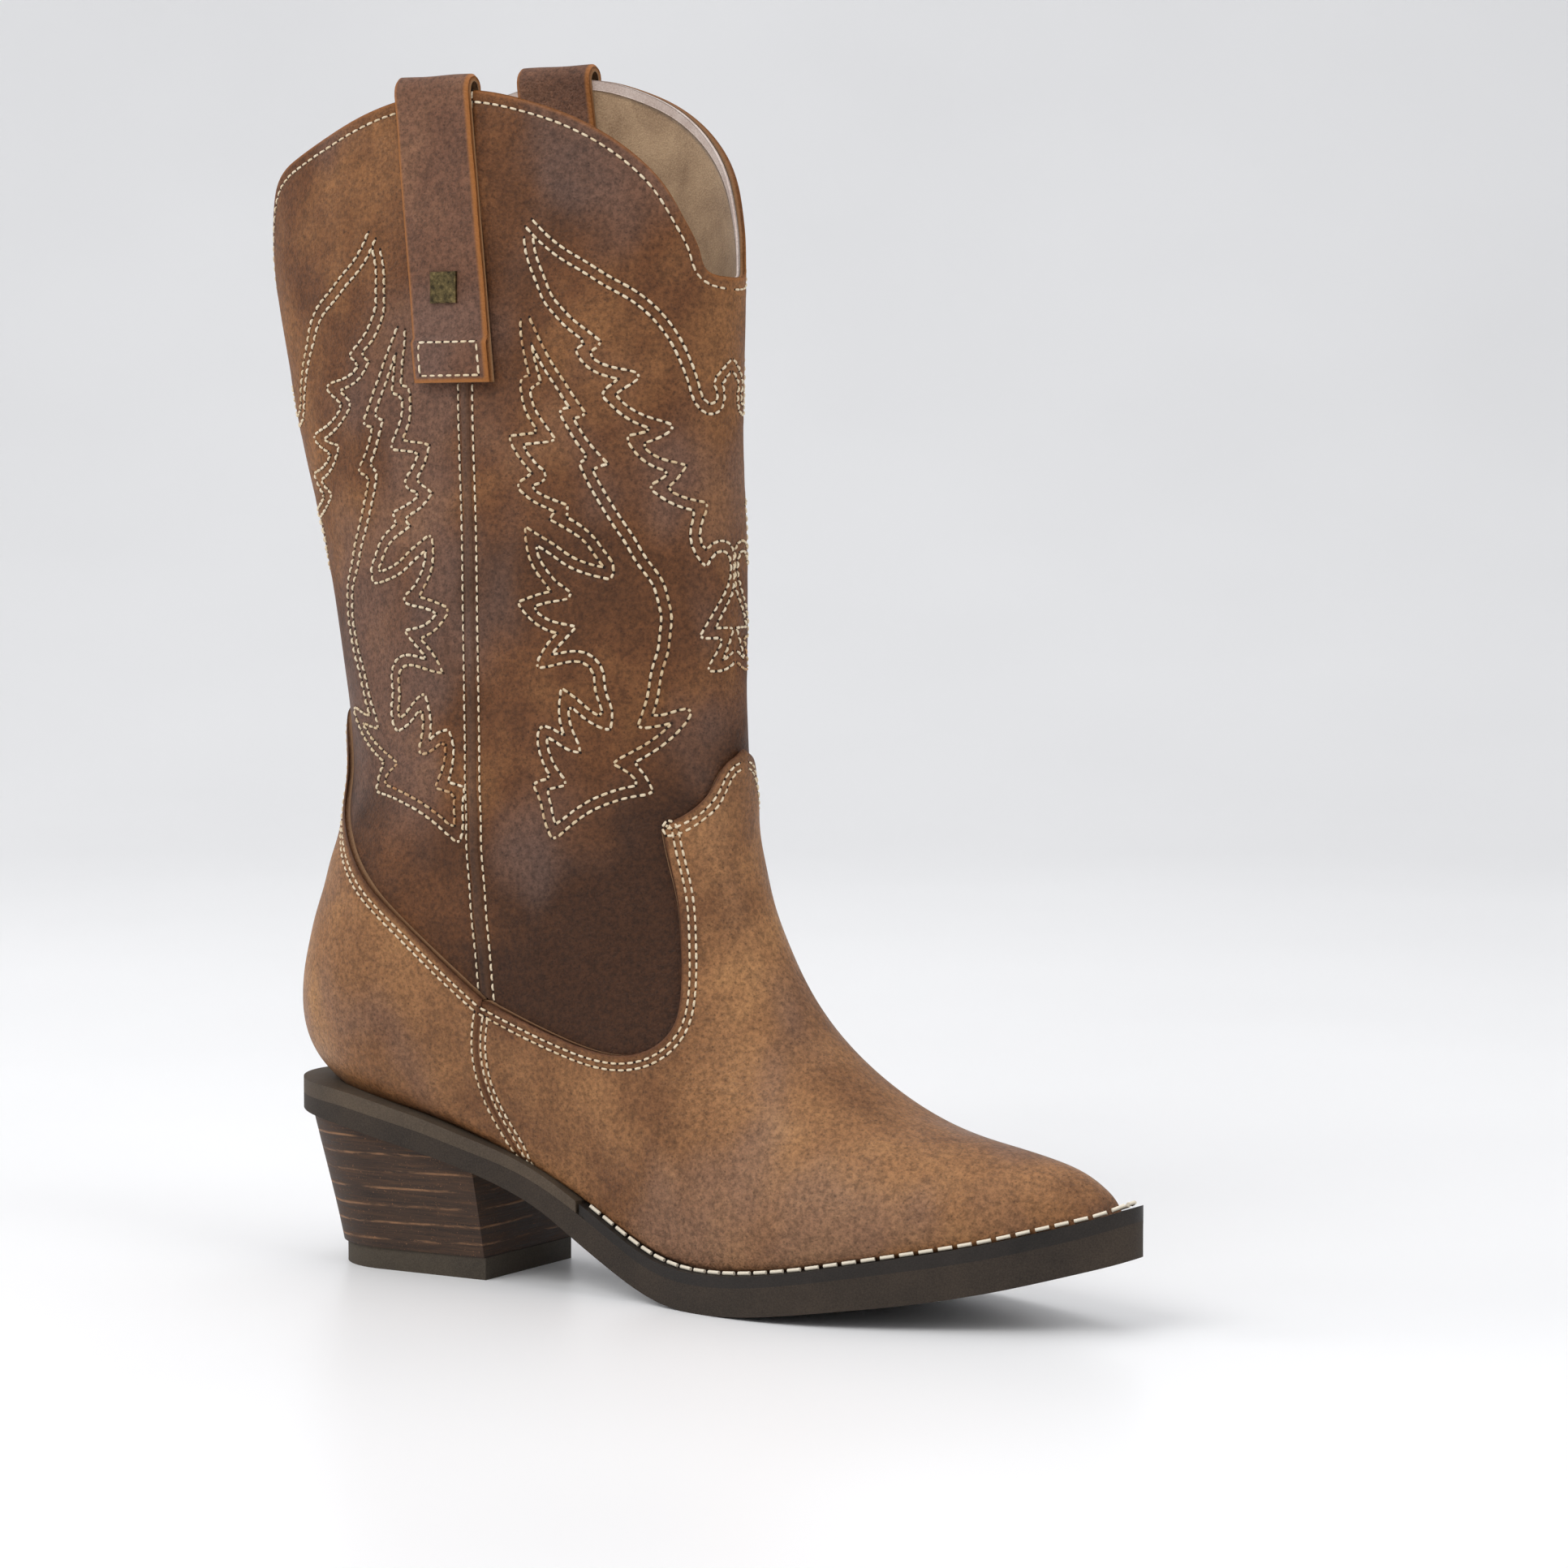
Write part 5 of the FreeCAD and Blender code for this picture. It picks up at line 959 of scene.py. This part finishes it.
def cornered(points, closed=False, bend=48.0, step=0.7):
    """A flat line through points: smooth, except where it turns by more than bend degrees."""
    p = np.array(points, float)
    if closed:
        p = np.concatenate([p, p[:1]])
    way = np.diff(p, axis=0)
    heading = np.degrees(np.arctan2(way[:, 1], way[:, 0]))
    turn = np.abs((np.diff(heading) + 180) % 360 - 180)
    stops = [0] + [i + 1 for i in range(len(turn)) if turn[i] > bend] + [len(p) - 1]
    result = [p[:1]]
    for a, b in zip(stops, stops[1:]):
        part = p[a:b + 1]
        if len(part) > 2:
            part = smooth(part, 40 * (b - a))
        run = run_of(part)
        at = np.linspace(0, run[-1], max(2, int(run[-1] / step)) + 1)
        result.append(np.stack([np.interp(at, run, part[:, k]) for k in (0, 1)], 1)[1:])
    return np.concatenate(result)


def beside(line, distance):
    """A flat line offset sideways, with mitred corners and no loops."""
    way = np.diff(line, axis=0)
    way /= np.maximum(np.linalg.norm(way, axis=1), 1e-9)[:, None]
    first = np.concatenate([way[:1], way])
    second = np.concatenate([way, way[-1:]])
    normal_a = np.stack([-first[:, 1], first[:, 0]], 1)
    normal_b = np.stack([-second[:, 1], second[:, 0]], 1)
    middle = normal_a + normal_b
    share = np.maximum((middle * middle).sum(1) / 2, 0.42)
    moved = line + distance * middle / share[:, None]
    gap = np.sqrt(((moved[:, None] - line[None]) ** 2).sum(2)).min(1)
    return moved[gap > abs(distance) * 0.93]


MOTIF_UPPER = [
    (21, 308), (25, 304), (31.5, 299), (38.5, 295), (45, 291), (51.5, 287.5), (57.5, 283),
    (62, 278), (65.5, 272.5), (68, 267), (70, 261.5), (72, 256.5), (75.5, 254.5), (79, 256),
    (79.5, 259.5), (78, 262.5), (82, 266), (87.5, 269.5)]
MOTIF_LOWER = [
    (21, 304), (21.5, 300), (23, 295.5), (25, 291), (27, 286.5), (30.5, 282.5), (33.5, 279.5),
    (37.5, 276.5), (41.5, 273.5), (37.5, 271), (40, 268), (45, 265.5), (53, 264),
    (48.5, 261.5), (45, 259), (49, 255), (55, 251.5), (62, 249.5), (56.5, 247), (52, 246),
    (54, 243), (59, 239.5), (65, 238), (62.5, 235), (58.5, 232.5), (63, 229.5), (72, 227),
    (70, 222.5), (69.5, 217.5), (71, 214), (72.5, 212), (74, 214), (78, 216), (82.5, 214.5),
    (84, 211.5), (84, 207.5), (82, 203), (78.5, 198.5), (73, 191), (76.5, 191), (81.5, 191),
    (79.5, 187.5), (75, 181.5), (79.5, 182), (84.5, 184.5), (90.5, 186)]
MOTIF_LOOP = [
    (20, 280.5), (24.5, 272), (27.5, 267), (31, 262), (34, 257.5), (36.5, 254), (32.5, 253.5),
    (34.5, 250), (38, 244.5), (42, 240), (38, 239), (39.5, 235.5), (42, 231), (45, 226),
    (48, 221.5), (51, 217), (53.5, 212.5), (56.5, 208.5), (59, 204.5), (60, 200.5), (61, 196),
    (60.5, 191), (60, 186.5), (58.5, 182), (57.5, 178), (56.5, 172.5), (55.5, 169.5),
    (54, 165.5), (60, 166.5), (66.5, 168.5), (62.5, 164), (57, 159.5), (52, 156.5), (47, 154),
    (50.5, 152), (52.5, 149.5), (54, 146.5), (48, 145.5), (43, 144), (38, 142), (33, 139),
    (29, 136), (26, 133.5), (24.5, 137.5), (24, 141.5), (22, 147), (28.5, 148.5), (26, 152),
    (24, 157), (23.5, 160.5), (24, 163), (27, 162), (30, 160), (33.5, 158.5), (31, 164.5),
    (30.5, 169.5), (31, 173), (34.5, 170.5), (38, 167.5), (43, 165), (43.5, 168.5),
    (42.5, 172), (41.5, 175.5), (41.5, 178.5), (40.5, 181.5), (37.5, 184), (33.5, 184.5),
    (28.5, 183.5), (24, 182.5), (27, 187), (29.5, 189.5), (32, 192), (25.5, 193.5),
    (21.5, 196), (18.5, 199), (23, 200.5), (27.5, 201.5), (32.5, 202), (28.5, 204),
    (25.5, 207), (22.5, 211), (21, 215), (20.5, 219), (23, 217.5), (27.5, 215), (32, 212),
    (36.5, 210), (44.5, 208), (44.5, 210.5), (42.5, 213), (40, 216.5), (37, 219.5),
    (33, 222), (29, 224), (31, 226.5), (25.5, 228.5), (21.5, 230.5), (18.5, 233),
    (22.5, 235), (26.5, 235.5), (24, 236.5), (21, 239.5), (18.5, 242.5), (16.5, 246),
    (21.5, 246.5), (27, 247), (24, 251), (21.5, 255), (20.5, 259), (20, 262.5), (23.5, 263),
    (22, 268), (21, 272), (20, 277.5)]
MOTIF_OFFSET = 1.45


def on_back(line, side):
    """The motif of the front half moved on to the back half."""
    s, z = line[:, 0].copy(), line[:, 1] - 2.0
    low = np.clip(0.168 * (252 - z), -3, None)
    loop = -(s - low)
    far = np.interp(z, HEIGHTS, BACK_RUN[side])
    front = np.interp(z, HEIGHTS, FRONT_RUN[side])
    wide = np.where(s < 72, s, 72 + (s - 72) * (far - 72) / np.maximum(front - 72, 4))
    arm = -(wide + 0.4 * np.maximum(0, z - 275))
    return np.stack([loop, z], 1), np.stack([arm, z], 1)


def motif_rows():
    """The double rows of the pattern on both halves and both sides of the shaft."""
    rows = []
    loop = cornered(MOTIF_LOOP, True)
    arms = [cornered(MOTIF_UPPER), cornered(MOTIF_LOWER)]
    for side in (OUT, IN):
        for gap in (MOTIF_OFFSET, -MOTIF_OFFSET):
            line = beside(loop, gap)
            rows.append((line, side))
            rows.append((on_back(line, side)[0], side))
            for arm in arms:
                line = beside(arm, gap)
                front = np.interp(line[:, 1], HEIGHTS, FRONT_RUN[side])
                short = line[line[:, 0] < front - 0.2]
                rows.append((short, side))
                flipped = on_back(line, side)[1]
                back = np.interp(flipped[:, 1], HEIGHTS, BACK_RUN[side])
                rows.append((flipped[-flipped[:, 0] < back - 0.2], side))
    return [row_on(shaft_form, shaft_marks(line[:, 0], line[:, 1], side),
                   pitch=2.75, radius=0.40, sink=0.10) for line, side in rows]


# ---------------------------------------------------------------- upper
def swell(points):
    """Millimetres that the outer leather stands out from its form: soft folds and hollows."""
    x, y, z = points[..., 0], points[..., 1], points[..., 2]
    high = np.clip((z - 150) / 120, 0, 1)
    folds = np.sin(0.052 * x - 0.075 * z + 0.02 * y + 1.0) * np.sin(0.021 * z + 0.03 * x)
    folds = folds * 0.55 * high
    ankle = np.exp(-((z - 128) / 26) ** 2)
    crease = np.sin(0.30 * z + 0.09 * x + 1.4 * np.sin(0.05 * x)) * 0.22 * ankle
    slow = 0.20 * np.sin(0.041 * x + 0.033 * z + 0.06 * y + 2.1)
    return folds + crease + slow


def tone_and_shade_at(points, on_foot):
    """How much lighter or darker the leather is from place to place: worn and burnished patches,
    and painted shade that darkens the toe.
    """
    x, z = points[..., 0], points[..., 2]
    line = lap[::8]
    far = np.sqrt(((points[..., None, [0, 2]] - line) ** 2).sum(-1)).min(-1)
    if on_foot:
        # painted shade: the vamp is darkened towards the toe tip, standing in for less light there
        toe = np.clip((x - 70) / 55, 0, 1)
        return -0.24 * toe - 0.10 * np.exp(-(far / 5.0) ** 2)
    bend = np.exp(-((x - 17) / 7.0) ** 2) * np.clip((z - 130) / 40, 0, 1)
    low = np.clip((185 - z) / 50, 0, 1) * np.clip((x + 58) / 20, 0, 1)
    return 0.14 * bend - 0.16 * np.exp(-(far / 13.0) ** 2) - 0.10 * low


class Seams:
    """Where thread pulls the leather in."""

    def __init__(self, rows):
        spots = np.concatenate([row.points[::2] for row in rows])
        self.tree = kdtree.KDTree(len(spots))
        for i, spot in enumerate(spots):
            self.tree.insert(spot, i)
        self.tree.balance()

    def pull(self, points):
        flat = points.reshape(-1, 3)
        far = np.array([self.tree.find(p)[2] for p in flat]).reshape(points.shape[:2])
        return -0.26 * np.exp(-(far / 0.9) ** 2) + 0.10 * np.exp(-((far - 2.2) / 1.1) ** 2)


def skin(name, outer, inner, grid, material, rows=None, radius=0.55, swelling=1.0):
    u, v = grid[..., 0], grid[..., 1]
    outside, inside = outer.at(u, v), inner.at(u, v)
    press = swell(outside) * swelling
    if rows is not None:
        press = press + Seams(rows).pull(outside)
    piece = leather(name + "_skin", outside, inside, material, name, press, radius)
    # tone carries painted shade on the toe of the vamp, besides worn patches
    tone = tone_and_shade_at(outside, material is foot).ravel()
    give(piece, "tone", np.concatenate([tone, tone]))
    return piece


def lining(name, grid):
    skin(name, middle_form, inner_form, grid, lining_skin, swelling=0.0)


def settled(rows):
    """Rows moved to where the swollen leather carries them."""
    for row in rows:
        row.points = row.points + row.normals * swell(row.points)[:, None]
    return rows


piping_form, middle_form = Form(PIPING_INSET), Form(MIDDLE_INSET)
inner_form = Form(INSIDE_INSET)
tops = both(topline)
tapes = both(lambda side: topline(side, TAPE_HEIGHT))


def half_grids(lower, front_seam, back_seam, tops, dip, step):
    top = front_edge(both(lambda s: clipped(tops[s], front_seam)), dip)
    low = front_edge(both(lambda s: clipped(lower, front_seam)), lower[-1][1])
    ends = both(lambda s: trace(clipped(front_seam, tops[s], lower), s))
    front = blended(top, low, ends[OUT], ends[IN], step)
    top = back_edge(both(lambda s: clipped(tops[s], None, back_seam)), dip)
    low = back_edge(both(lambda s: clipped(lower, None, back_seam)), lower[0][1])
    ends = both(lambda s: trace(clipped(back_seam, tops[s], lower), s))
    return front, blended(top, low, ends[IN], turned(ends[OUT]), step)


def top_rows():
    rows = []
    for side in (OUT, IN):
        for line in (clipped(tops[side], seam_front), clipped(tops[side], None, seam_back)):
            marks = spaced_marks(trace(line, side, 200), shaft_form)
            rows.append(row_on(shaft_form, shifted(shaft_form, marks, -3.4 * side)))
        for gap in (2.55, -2.55):
            marks = trace(clipped(seam + [gap, 0], tops[side], lap), side, 160)
            rows.append(row_on(shaft_form, spaced_marks(marks, shaft_form), pitch=2.9))
    return rows


def foot_rows():
    """Rows on the vamp and on the counter cover."""
    vamp_rows, counter_rows = [], []
    for side in (OUT, IN):
        marks = spaced_marks(trace(clipped(lap, vamp_seam), side, 240), base)
        back = spaced_marks(trace(clipped(lap, None, vamp_seam), side, 200), base)
        for gap in (2.4, 4.3):
            vamp_rows.append(row_on(base, shifted(base, marks, -gap * side), pitch=FOOT_PITCH))
            counter_rows.append(row_on(base, shifted(base, back, -gap * side), pitch=FOOT_PITCH))
        down = spaced_marks(trace(clipped(vamp_seam, lap_low), side, 120), base)
        for gap, rows in ((-1.6, counter_rows), (1.5, vamp_rows), (3.2, vamp_rows)):
            marks = shifted(base, down, gap * side)
            keep = np.minimum(marks[:, 1], 1 - marks[:, 1]) > FEATHER_V + 0.008
            rows.append(row_on(base, marks[keep], pitch=FOOT_PITCH))
    return vamp_rows, counter_rows


lap_low = lap + [0.0, -5.0]
motif = settled(motif_rows())
edging = settled(top_rows())
vamp_rows, counter_rows = foot_rows()
settled(vamp_rows)
settled(counter_rows)
sewn("shaft_stitches", motif + edging, 3)
sewn("foot_stitches", vamp_rows + counter_rows, 4)

STEP = 0.9
front_grid, back_grid = half_grids(lap_below, seam_front, seam_back, tops, TOPLINE_DIP, STEP)
skin("shaft_front_panel", shaft_form, middle_form, front_grid, upper,
     motif + edging)
skin("shaft_back_panel", shaft_form, middle_form, back_grid, upper,
     motif + edging)
front_grid, back_grid = half_grids(lap, seam, seam, tapes, TOPLINE_DIP - TAPE_HEIGHT, 2.0)
lining("shaft_lining_front", front_grid)
lining("shaft_lining_back", back_grid)


def tape(name, edge, clip):
    high = edge(both(lambda s: clip(tops[s])), TOPLINE_DIP)
    low = edge(both(lambda s: clip(tapes[s])), TOPLINE_DIP - TAPE_HEIGHT)
    ends = [np.linspace(high[k], low[k], 12) for k in (0, -1)]
    skin(name, middle_form, inner_form, blended(high, low, ends[0], ends[1], 1.0), tape_cloth,
         radius=0.25, swelling=0.0)


tape("topline_tape_front", front_edge, lambda line: clipped(line, seam))
tape("topline_tape_back", back_edge, lambda line: clipped(line, None, seam))
for side, name in ((OUT, "side_piping_outer"), (IN, "side_piping_inner")):
    lines = [trace(clipped(seam + [gap, 0], tops[side], lap), side, 160)
             for gap in (-PIPING_SIDE, PIPING_SIDE)]
    lines = lines[::side]
    high = np.linspace(lines[0][0], lines[1][0], 12)
    low = np.linspace(lines[0][-1], lines[1][-1], 12)
    skin(name, piping_form, middle_form, blended(high, low, lines[0], lines[1], 0.8),
         piping_skin, radius=1.3)


# ---------------------------------------------------------------- foot
def feather_run(start, end, v, count=80):
    return np.stack([np.linspace(start, end, count), np.full(count, v)], 1)


def vamp_grid(step):
    edges = {}
    for side in (OUT, IN):
        down = trace(clipped(vamp_seam, lap), side, 120)
        limit = FEATHER_V if side == OUT else 1 - FEATHER_V
        keep = (down[:, 1] - limit) * side > 0
        down = np.concatenate([down[keep], [[down[keep][-1][0] + 0.05, limit]]])
        across = trace(clipped(lap, vamp_seam), side, 200)
        across = across[np.abs(across[:, 1] - 0.5) > 0.012]
        edges[side] = np.concatenate([down[::-1], across[1:]])
    middle = centre_mark(lap[-1][1], 0.5, edges[OUT][-1][0])
    back = np.concatenate([edges[OUT], [middle], edges[IN][::-1]])
    front = np.stack([np.full(60, TIP - 0.02), np.linspace(FEATHER_V, 1 - FEATHER_V, 60)], 1)
    left = feather_run(back[0][0], front[0][0], FEATHER_V)
    right = feather_run(back[-1][0], front[-1][0], 1 - FEATHER_V)
    return blended(back, front, left, right, step)


def counter_grid(step):
    high = back_edge(both(lambda s: clipped(lap, None, vamp_seam)), lap[0][1])
    ends = {}
    for side in (OUT, IN):
        down = trace(clipped(vamp_seam, lap), side, 120)
        limit = FEATHER_V if side == OUT else 1 - FEATHER_V
        keep = (down[:, 1] - limit) * side > 0
        ends[side] = np.concatenate([down[keep], [[down[keep][-1][0] + 0.05, limit]]])
    bottom = 8.9
    low_in = feather_run(ends[IN][-1][0], bottom, 1 - FEATHER_V, 40)
    low_out = turned(feather_run(ends[OUT][-1][0], bottom, FEATHER_V, 40))[::-1]
    arc = np.stack([np.full(12, bottom), np.linspace(1 - FEATHER_V, 1 + FEATHER_V, 12)], 1)
    low = np.concatenate([low_in, arc[1:-1], low_out])
    return blended(high, low, ends[IN], turned(ends[OUT]), step, False)


skin("vamp", base, shaft_form, vamp_grid(STEP), foot, vamp_rows)
skin("counter_cover", base, shaft_form, counter_grid(STEP), foot, counter_rows)
lining("vamp_lining", vamp_grid(2.2))
lining("heel_lining", counter_grid(2.2))

# ---------------------------------------------------------------- footbed
floor_line = smooth(BACK_AND_BOTTOM)
floor_line = floor_line[(floor_line[:, 1] < 60) & (floor_line[:, 0] < 137)]
floor_x = np.maximum.accumulate(floor_line[:, 0])


def floor_height(x, inset):
    x = np.clip(x, -119.0, 132.0)
    ahead = np.interp(x + 1, floor_x, floor_line[:, 1])
    behind = np.interp(x - 1, floor_x, floor_line[:, 1])
    return (ahead + behind) / 2 + inset * np.hypot(1, (ahead - behind) / 2)


def foot_points(start, end, share, rows, columns):
    """Points over the floor inside the foot, out to a share of its half width."""
    u = np.linspace(start, end, rows + 1)[:, None]
    k = np.linspace(-1, 1, 2 * columns + 1)[None]
    widths = np.array([[s[2], s[3]] for s in STATIONS])
    reach = np.stack([np.interp(u, np.arange(len(widths)), widths[:, i]) for i in (0, 1)])
    reach = np.where(k > 0, reach[0], reach[1])
    reach = np.maximum(reach - inner_form.inset, 1.0) * share * np.abs(k)
    low, high = np.zeros(reach.shape), np.full(reach.shape, 0.2)
    for _ in range(24):
        middle = (low + high) / 2
        short = np.abs(inner_form.at(u + 0 * k, np.where(k > 0, middle, -middle))[..., 1]) < reach
        low, high = np.where(short, middle, low), np.where(short, high, middle)
    points = inner_form.at(u + 0 * k, np.where(k > 0, low, -low))
    level = floor_height(points[..., 0], inner_form.inset) + INSOLE_THICKNESS
    points[..., 2] = np.maximum(points[..., 2] + 0.5, level)
    return points


foot_bed = foot_points(8.55, LAST - 2.0, 0.86, 220, 40)
sock_top = foot_bed + [0, 0, SOCK_THICKNESS]
grain = 0.12 * np.sin(foot_bed[..., 0] * 0.21) * np.sin(foot_bed[..., 1] * 0.33 + 1)
leather("sock_lining_skin", sock_top, foot_bed, CAD_FINISH["sock_lining"], "sock_lining",
        grain)
pad = foot_points(8.55, 12.6, 0.77, 90, 36) + [0, 0, SOCK_THICKNESS]
pad = pad[pad[:, 36, 0] < PAD_FRONT]
along_share = np.linspace(0, 1, len(pad))[:, None]
fall = np.clip(np.minimum(4 * along_share, 4 * (1 - along_share)), 0.02, 1) ** 0.5
crown = 1 - np.abs(np.linspace(-1, 1, pad.shape[1]))[None] ** 4
pad_top = pad.copy()
pad_top[..., 2] += 0.3 + PAD_THICKNESS * fall * crown
cushion = leather("heel_pad_skin", pad_top, pad, CAD_FINISH["heel_pad"], "heel_pad",
                  0.15 * np.sin(pad[..., 0] * 0.5) * np.sin(pad[..., 1] * 0.4))


# ---------------------------------------------------------------- pull straps
STRAP_WIDTH, STRAP_LEAN, STRAP_TOP_X = 26.0, 0.105, -66.0
STRAP_DROP, STRAP_INNER_DROP, STRAP_BOX = 83.0, 48.0, 13.0
STRAP_OVER = -1.1
BOX_STAND = 1.27      # how much further out the folded end of the strap stands
strap_under, strap_over = Form(1.04), Form(STRAP_OVER)
inner_under, inner_over = Form(4.66), Form(6.8)


def strap_rows(forms, heights, peak, side, stand):
    """Points under and over a strap leg; stand adds thickness at its folded end."""
    across = np.linspace(-0.5, 0.5, 33) * STRAP_WIDTH
    x = STRAP_TOP_X + STRAP_LEAN * (peak - heights)[:, None] + across[None]
    z = np.repeat(heights[:, None], 33, 1)
    line = np.stack([x.ravel(), z.ravel()], 1)
    marks = find(line, side, forms[0])
    under = forms[0].at(marks[:, 0], marks[:, 1]).reshape(len(heights), 33, 3)
    marks = find(line, side, forms[1])
    over = forms[1].at(marks[:, 0], marks[:, 1]).reshape(len(heights), 33, 3)
    return under, under + (over - under) * (1 + stand)[:, None, None]


def pull_strap(name, side, seed):
    peak = TOPLINE_PEAK[side]
    top = peak - 0.8
    heights = np.linspace(top - STRAP_DROP, top, 110)
    into_box = np.clip((top - STRAP_DROP + STRAP_BOX - heights) / 1.4, 0, 1)
    under, over = strap_rows((strap_under, strap_over), heights, peak, side, 0.59 * into_box)
    low_heights = np.linspace(top, top - STRAP_INNER_DROP, 60)
    in_under, in_over = strap_rows((inner_under, inner_over), low_heights, peak, side,
                                   np.zeros(60))
    turn = np.linspace(0, math.pi, 26)[1:-1][:, None, None]
    bow = np.sin(turn[..., 0]) ** 0.8
    loops = []
    for start, end, rise in ((under[-1], in_under[0], 3.2), (over[-1], in_over[0], 5.4)):
        line = start + (end - start) * turn / math.pi
        line[..., 1] = ((start[:, 1] + end[:, 1]) / 2
                        + (start[:, 1] - end[:, 1]) / 2 * np.cos(turn[..., 0]))
        line[..., 2] = start[:, 2] + rise * bow
        loops.append(line)
    near = np.concatenate([under, loops[0], in_under[1:]])
    away = np.concatenate([over, loops[1], in_over[1:]])
    wave = 0.14 * np.sin(away[..., 2] * 0.22 + seed) * np.sin(away[..., 0] * 0.3 + seed)
    leather(name + "_skin", away, near, strap_skin, name, wave, 0.7)
    box = [(-10.2, 2.0), (10.2, 2.0), (10.2, 11.6), (-10.2, 11.6), (-10.2, 2.0)]
    corners = []
    for (x0, h0), (x1, h1) in zip(box, box[1:]):
        t = np.linspace(0, 1, 30)[:-1, None]
        corners.append(np.array([[x0, h0]]) * (1 - t) + np.array([[x1, h1]]) * t)
    flat = np.concatenate(corners)
    z = top - STRAP_DROP + flat[:, 1]
    x = STRAP_TOP_X + STRAP_LEAN * (peak - z) + flat[:, 0]
    over_box = Form(STRAP_OVER - BOX_STAND)
    marks = find(np.stack([x, z], 1), side, over_box)
    return [row_on(over_box, np.concatenate([marks[k:k + 30], marks[k + 29:k + 30]]), pitch=3.0)
            for k in (0, 29, 58, 86)]


strap_stitches = pull_strap("pull_strap_outer", OUT, 0.3)
strap_stitches += pull_strap("pull_strap_inner", IN, 1.9)
sewn("strap_stitches", strap_stitches, 5)

# ---------------------------------------------------------------- studio
CAMERA_TURN = math.radians(31)
camera = bpy.data.objects.new("camera", bpy.data.cameras.new("camera"))
bpy.context.scene.collection.objects.link(camera)
camera.location = (0.6792, -1.0775, 0.227)
camera.rotation_euler = (math.radians(86.4), 0, CAMERA_TURN)
camera.data.sensor_width = 36
camera.data.lens = 101.1
bpy.context.scene.camera = camera

profile = [(-4.0, 0.0), (1.6, 0.0)]
profile += [(1.6 + 1.4 * math.sin(a), 1.4 - 1.4 * math.cos(a))
            for a in np.linspace(0, math.pi / 2, 24)[1:]]
profile += [(3.0, 5.0)]
away = np.array([-math.sin(CAMERA_TURN), math.cos(CAMERA_TURN), 0.0])
across = np.array([away[1], -away[0], 0.0])
sweep = np.array([[away * a + across * b + [0, 0, h] for b in np.linspace(-5, 5, 9)]
                  for a, h in profile]) * 1000
backdrop = new_piece("studio_backdrop", sweep.reshape(-1, 3),
                     sheet_faces(len(profile), 9, 0, True), floor_finish())


def lamp(name, place, aim, size, power, colour=(1, 1, 1)):
    data = bpy.data.lights.new(name, "AREA")
    data.shape = "RECTANGLE"
    data.size, data.size_y = size
    data.energy, data.color = power, colour
    light = bpy.data.objects.new(name, data)
    light.location = place
    light.rotation_euler = (Vector(aim) - Vector(place)).to_track_quat("-Z", "Y").to_euler()
    bpy.context.scene.collection.objects.link(light)


lamp("key_light", (-0.3, -1.6, 1.9), (0, 0, 0.15), (1.6, 1.2), 24)
lamp("right_light", (1.9, -0.3, 1.2), (0, 0, 0.15), (1.0, 1.4), 12)
lamp("left_light", (-1.8, -0.9, 1.1), (0, 0, 0.2), (1.0, 1.4), 10)
lamp("top_light", (-0.4, 0.5, 2.4), (0, 0, 0.1), (2.0, 2.0), 16)
world = bpy.data.worlds.new("studio")
world.use_nodes = True
world.node_tree.nodes["Background"].inputs["Color"].default_value = (0.95, 0.96, 1.0, 1.0)
world.node_tree.nodes["Background"].inputs["Strength"].default_value = 0.50
bpy.context.scene.world = world
bpy.context.scene.view_settings.view_transform = "Standard"

bpy.context.view_layer.update()
